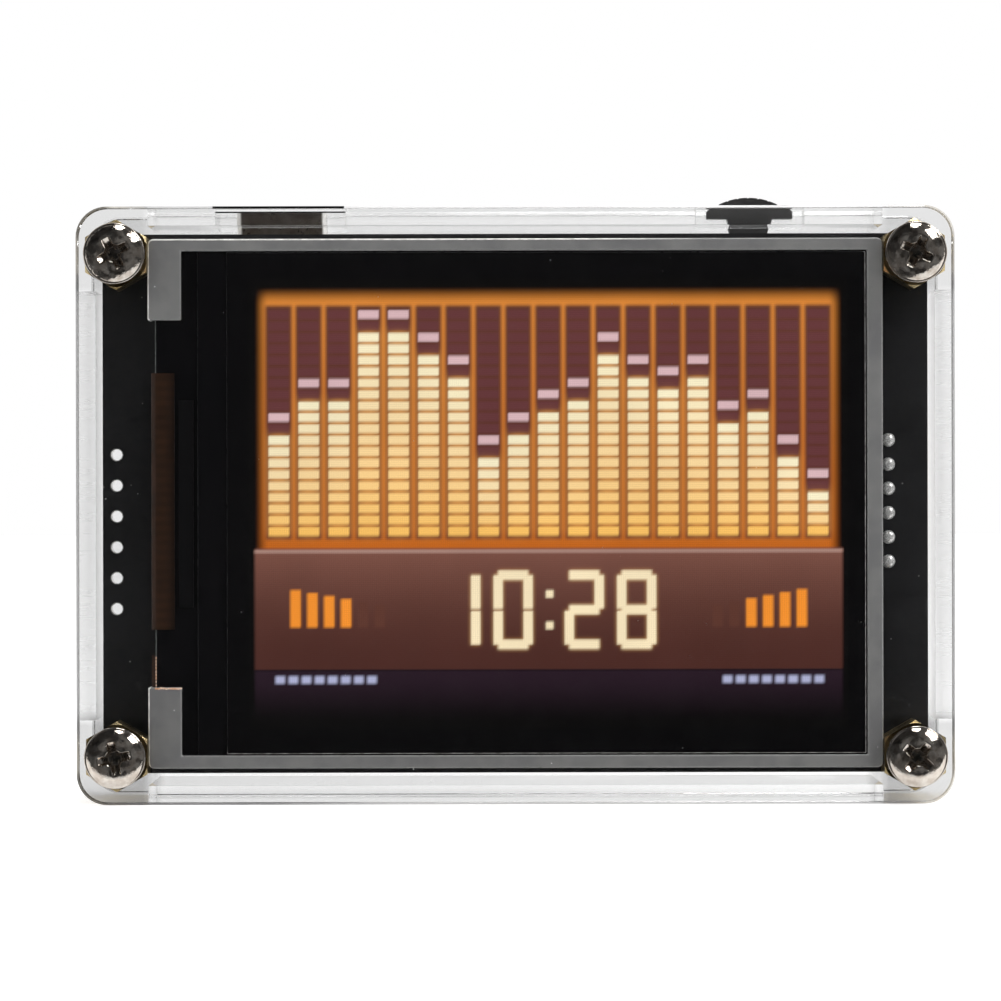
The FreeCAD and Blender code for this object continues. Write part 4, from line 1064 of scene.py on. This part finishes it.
class Picture:
    """Drawing on the display's points: u runs to the right and v up."""

    def __init__(self, ground):
        self.u, self.v = np.meshgrid(np.arange(COLUMNS + 1.0), np.arange(ROWS + 1.0))
        self.colours = np.zeros(self.u.shape + (3,)) + np.array(ground[:3])

    def lay(self, colour, share):
        """Lay a colour, or one for each point, over the picture; share is 0 to 1 at each point."""
        self.colours += (np.array(colour)[..., :3] - self.colours) * share[..., None]

    def box(self, left, right, bottom, top, soft=0.6):
        """1 inside a rectangle and 0 outside, with soft edges."""
        return between(left, right, soft, self.u) * between(bottom, top, soft, self.v)


def bar_level(number):
    """Height of one spectrum bar, 0 to 1: a low hump, a high hump and some ripple."""
    place = number / (BAR_COUNT - 1)
    low_hump = 0.62 * exp(-((place - 0.2) / 0.17) ** 2)
    high_hump = 0.5 * exp(-((place - 0.68) / 0.2) ** 2)
    ripple = 0.09 * sin(number * 2.4) + 0.06 * sin(number * 5.1 + 1)
    return min(0.95, max(0.12, 0.26 + low_hump + high_hump + ripple))


def draw_bars(picture):
    """Orange panel with rounded glow, and the lit segments of every bar over it."""
    first = (COLUMNS - BAR_COUNT * BAR_PITCH) / 2
    rows = int((BAR_TOP - BAR_FLOOR) / SEGMENT_PITCH)
    panel = between(PANEL_MARGIN, COLUMNS - PANEL_MARGIN, 4, picture.u)
    panel = panel * smooth_step(BAND_TOP - 2, BAND_TOP + 1, picture.v)
    panel = panel * (1 - smooth_step(BAR_TOP + 1, BAR_TOP + 11, picture.v))
    rise = np.clip((picture.v - BAR_FLOOR) / (BAR_TOP - BAR_FLOOR), 0, 1)
    picture.lay(graded(srgb(198, 104, 32), srgb(226, 140, 58), rise), panel)
    for number in range(BAR_COUNT):
        left = first + number * BAR_PITCH + (BAR_PITCH - BAR_WIDTH) / 2
        right = left + BAR_WIDTH
        column = picture.box(left - 1.5, right + 1.5, BAR_FLOOR - 2, BAR_TOP + 1, 1.5)
        picture.lay(srgb(74, 40, 44), column * 0.92)
        lit = round(bar_level(number) * rows)
        halo = picture.box(left, right, BAR_FLOOR, BAR_FLOOR + lit * SEGMENT_PITCH, 5)
        picture.lay(srgb(255, 176, 84), halo * 0.55)
        for row in range(rows):
            bottom = BAR_FLOOR + row * SEGMENT_PITCH
            share = picture.box(left, right, bottom, bottom + SEGMENT_PITCH - SEGMENT_GAP)
            if row < lit:
                warm = row / max(1, lit - 1)
                picture.lay(graded(srgb(255, 198, 104), srgb(255, 244, 206), warm), share)
            elif row == min(rows - 1, lit + 1):
                picture.lay(srgb(222, 186, 190), share)
            else:
                picture.lay(srgb(104, 58, 62), share * 0.8)


def draw_band(picture):
    """Brown band under the bars, with a lighter upper edge and a dim mirror image below it."""
    v = picture.v
    side = between(BAND_MARGIN, COLUMNS - BAND_MARGIN, 1, picture.u)
    rise = np.clip((v - BAND_BOTTOM) / (BAND_TOP - BAND_BOTTOM), 0, 1)
    shade = graded(srgb(78, 44, 38), srgb(128, 84, 72), rise ** 2)
    picture.lay(shade, side * between(BAND_BOTTOM, BAND_TOP, 0.6, v))
    edge = picture.box(BAND_MARGIN, COLUMNS - BAND_MARGIN, BAND_TOP - 2.2, BAND_TOP - 0.6)
    picture.lay(srgb(176, 140, 128), edge)
    mirror = side * smooth_step(2, BAND_BOTTOM, v) * (1 - smooth_step(BAND_BOTTOM - 1, BAND_BOTTOM, v))
    picture.lay(srgb(46, 30, 42), mirror * 0.8)
    for number in range(DASHES):
        for left in (DASH_LEFT + number * DASH_PITCH, DASH_RIGHT - number * DASH_PITCH):
            picture.lay(srgb(196, 200, 236), picture.box(left, left + DASH_WIDTH, 24, 28, 0.8) * 0.8)


def draw_digit(picture, left, bottom, figure):
    """One seven-segment figure."""
    stroke = DIGIT_STROKE
    right = left + DIGIT_WIDTH
    top = bottom + DIGIT_HEIGHT
    middle = (bottom + top) / 2
    half = stroke / 2
    segments = {
        "a": (left + half, right - half, top - stroke, top),
        "b": (right - stroke, right, middle + 0.6, top - half),
        "c": (right - stroke, right, bottom + half, middle - 0.6),
        "d": (left + half, right - half, bottom, bottom + stroke),
        "e": (left, left + stroke, bottom + half, middle - 0.6),
        "f": (left, left + stroke, middle + 0.6, top - half),
        "g": (left + half, right - half, middle - half, middle + half),
    }
    lit = [segments[name] for name in SEGMENTS_LIT[figure]]
    for segment in lit:
        picture.lay(srgb(255, 190, 110), picture.box(*segment, 2.4) * 0.4)
    for segment in lit:
        picture.lay(TIME_COLOUR, picture.box(*segment, 0.7))


def draw_time(picture):
    """The time in the middle of the band, and a row of level marks at each side of it."""
    width = 4 * DIGIT_PITCH + COLON_PITCH - (DIGIT_PITCH - DIGIT_WIDTH)
    left = (COLUMNS - width) / 2
    bottom = (BAND_BOTTOM + BAND_TOP - DIGIT_HEIGHT) / 2 - 0.5
    for figure in TIME_SHOWN:
        if figure == ":":
            for rise in (0.3, 0.7):
                middle = bottom + DIGIT_HEIGHT * rise
                picture.lay(TIME_COLOUR, picture.box(left, left + 4, middle - 2, middle + 2, 0.8))
            left += COLON_PITCH
        else:
            draw_digit(picture, left, bottom, figure)
            left += DIGIT_PITCH
    for number in range(MARKS):
        shade = srgb(250, 150, 50) if number < MARKS_LIT else srgb(96, 58, 48)
        for left in (MARK_LEFT + number * MARK_PITCH, MARK_RIGHT - number * MARK_PITCH):
            picture.lay(shade, picture.box(left, left + MARK_WIDTH, 54, 74 - number * 1.6, 0.8))


def display_picture():
    """Fine grid just proud of the polarising film, coloured point by point."""
    picture = Picture(srgb(6, 5, 5))
    draw_bars(picture)
    draw_band(picture)
    draw_time(picture)

    x = PICTURE_MIDDLE_X + (picture.u - COLUMNS / 2) * POINT_PITCH
    z = PICTURE_MIDDLE_Z + (picture.v - ROWS / 2) * POINT_PITCH
    y = np.full(x.shape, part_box("display_polarizer")[0].y - PICTURE_LIFT)
    points = np.stack([x, y, z], axis=-1).reshape(-1, 3)
    line = COLUMNS + 1
    corner = np.arange(ROWS)[:, None] * line + np.arange(COLUMNS)[None, :]
    faces = np.stack([corner, corner + 1, corner + line + 1, corner + line], axis=-1).reshape(-1, 4)
    mesh = bpy.data.meshes.new("display_picture")
    mesh.from_pydata(points.tolist(), [], faces.tolist())
    colours = np.concatenate([picture.colours.reshape(-1, 3), np.ones((len(points), 1))], axis=1)
    layer = mesh.color_attributes.new("picture", "FLOAT_COLOR", "POINT")
    layer.data.foreach_set("color", colours.astype(np.float32).ravel())
    piece = new_object("display_picture", mesh)
    picture_material()
    mesh.materials.append(MATERIALS["display_picture"])
    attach(piece, "case")


def picture_material():
    """Lit display points: the colour layer, split by the fine dark lines between the points."""
    s = Shader("display_picture", srgb(5, 5, 5), 0.18)
    gaps = []
    for name, middle in (("X", PICTURE_MIDDLE_X), ("Z", PICTURE_MIDDLE_Z)):
        steps = s.math("DIVIDE", s.math("SUBTRACT", s.axis(name), middle), POINT_PITCH)
        along = s.math("ABSOLUTE", s.math("SUBTRACT", s.math("FRACT", s.math("ADD", steps, 200)), 0.5))
        gaps.append(s.spread(along, 0, 1, 0.38, 0.5))
    dark = s.spread(s.larger(*gaps), 1.08, 0.72, 0, 1)
    s.drive("Emission Color", s.add("Attribute", attribute_name="picture")["Color"])
    s.drive("Emission Strength", s.times(dark, s.spread(s.noise(7, 2), 0.96, 1.04)))
    s.roughness(s.noise(2, 4), 0.14, 0.24)


display_picture()


# Floor, world, lamps and camera

FLOOR_HALF = 3
FLOOR_DROP = 0.05
FLOOR_GLOW = 0.5
FLOOR_GLOW_PASSED = 0.22
# From this far in front of the clock, in millimetres, reflections start to look past the floor, and then do.
CLEAR_FRONT = 11
DARK_FROM = 12
SOFT_LIGHT = 0.82
# Light of the room that reflections show: straight in front of the clock and round it, how much it varies,
# its darker side, and the pale table top; a direction points from the clock.
ROOM_AHEAD = 0.012
ROOM_ROUND = 0.085
ROOM_VARIES = (0.3, 1.7)
ROOM_DARK_SIDE = (-0.55, 0.45, 0.7)
ROOM_DARKENS_TO = 0.15
TABLE_SIDE = (0.4, 0.53, -0.75)
TABLE_LIGHT = 0.95


def floor():
    """Pale floor that shows nearly white and keeps the clock's shadow; reflections in front look past it."""
    half = FLOOR_HALF
    mesh = bpy.data.meshes.new("floor")
    corners = [(-half, -half, 0), (half, -half, 0), (half, half, 0), (-half, half, 0)]
    mesh.from_pydata(corners, [], [(0, 1, 2, 3)])
    piece = new_object("floor", mesh)
    piece.location.z = -FLOOR_DROP * MM
    s = Shader("floor", srgb(236, 236, 236), 0.8)
    s.tones(s.noise(60), srgb(238, 238, 238), srgb(232, 232, 232))
    ray = s.add("LightPath")
    passed = s.larger(ray["Is Glossy Ray"], ray["Is Transmission Ray"])
    seen = s.times(ray["Is Camera Ray"], FLOOR_GLOW)
    s.drive("Emission Color", (1, 1, 1, 1))
    s.drive("Emission Strength", s.larger(seen, s.times(passed, FLOOR_GLOW_PASSED)))
    s.partly_clear(s.times(passed, s.ramp(s.axis("Y"), 1, 0, -DARK_FROM, -CLEAR_FRONT)))
    mesh.materials.append(MATERIALS["floor"])


def world():
    """White seen directly or through clear sheet, soft light for plain surfaces, a room for reflections."""
    new = bpy.data.worlds.new("studio")
    bpy.context.scene.world = new
    new.use_nodes = True
    w = Nodes(new.node_tree, "SMOOTHSTEP")
    place = w.add("TexCoord")["Generated"]
    direction = w.split(place)

    def lean(side):
        """How far a direction leans towards a given one."""
        across, ahead, up = (w.times(part, share) for part, share in zip(direction, side))
        return w.math("ADD", w.math("ADD", across, ahead), up)

    def background(strength):
        return w.add("Background", {"Color": (1, 1, 1, 1), "Strength": strength})["Background"]

    patches = w.add("TexNoise", {"Vector": place, "Scale": 3, "Detail": 2})["Fac"]
    away = w.spread(direction["Y"], ROOM_AHEAD, ROOM_ROUND, -0.96, -0.75)
    room = w.times(away, w.spread(patches, *ROOM_VARIES, 0.36, 0.64))
    room = w.times(room, w.spread(lean(ROOM_DARK_SIDE), 1, ROOM_DARKENS_TO, 0.3, 0.7))
    room = w.larger(room, w.spread(lean(TABLE_SIDE), 0, TABLE_LIGHT, 0.53, 0.57))
    behind = w.spread(direction["Y"], 0, 1, 0, 0.25)
    whole = w.add("Mix", {0: behind, 2: room, 3: 1}, data_type="FLOAT")[0]
    ray = w.add("LightPath")
    passed = w.larger(ray["Is Glossy Ray"], ray["Is Transmission Ray"])
    straight = w.times(w.math("LESS_THAN", ray["Glossy Depth"], 0.5), ray["Is Transmission Ray"])
    result = w.choose(passed, background(SOFT_LIGHT), background(whole))
    result = w.choose(w.larger(ray["Is Camera Ray"], straight), result, background(1))
    w.add("OutputWorld", {"Surface": result})


CASE_MIDDLE = Vector((0, 0, CASE_MID_Z * MM))
LAMP_DISTANCE = 0.6


def lamp(name, turn, tilt, size, power):
    """Soft rectangular lamp aimed at the case, tilted from the line of sight and turned round it from +X."""
    away = sin(radians(tilt)) * LAMP_DISTANCE
    place = CASE_MIDDLE + Vector((away * cos(radians(turn)),
                                  -cos(radians(tilt)) * LAMP_DISTANCE,
                                  away * sin(radians(turn))))
    data = bpy.data.lights.new(name, "AREA")
    data.shape = "RECTANGLE"
    data.size, data.size_y = size
    data.energy = power
    piece = new_object(name, data)
    piece.location = place
    piece.rotation_mode = "QUATERNION"
    piece.rotation_quaternion = (CASE_MIDDLE - place).to_track_quat("-Z", "Y")
    piece.visible_camera = False


BOARD_FRONT = -2.8
PIXELS_PER_MM = 12.11
CAMERA_DISTANCE = 395
FRAME_PIXELS = 1001
OBJECT_PIXEL = (515.3, 505)
CAMERA_ROLL = 0.12


def camera():
    """Straight-on camera at the photo's distance, a little aside so that the clock lands where it does."""
    data = bpy.data.cameras.new("camera")
    data.lens = data.sensor_width * CAMERA_DISTANCE / (FRAME_PIXELS / PIXELS_PER_MM)
    data.clip_start = 0.01
    piece = new_object("camera", data)
    middle = FRAME_PIXELS / 2
    x = (middle - OBJECT_PIXEL[0]) / PIXELS_PER_MM
    z = CASE_MID_Z + (OBJECT_PIXEL[1] - middle) / PIXELS_PER_MM
    piece.location = Vector((x, BOARD_FRONT - CAMERA_DISTANCE, z)) * MM
    piece.rotation_euler = (radians(90), radians(CAMERA_ROLL), 0)
    bpy.context.scene.camera = piece


floor()
world()
lamp("overhead", 84, 86, (0.2, 0.14), 0.8)
lamp("upper_right", 47, 77, (0.2, 0.22), 1.3)
camera()
bpy.context.scene.view_settings.view_transform = "Standard"
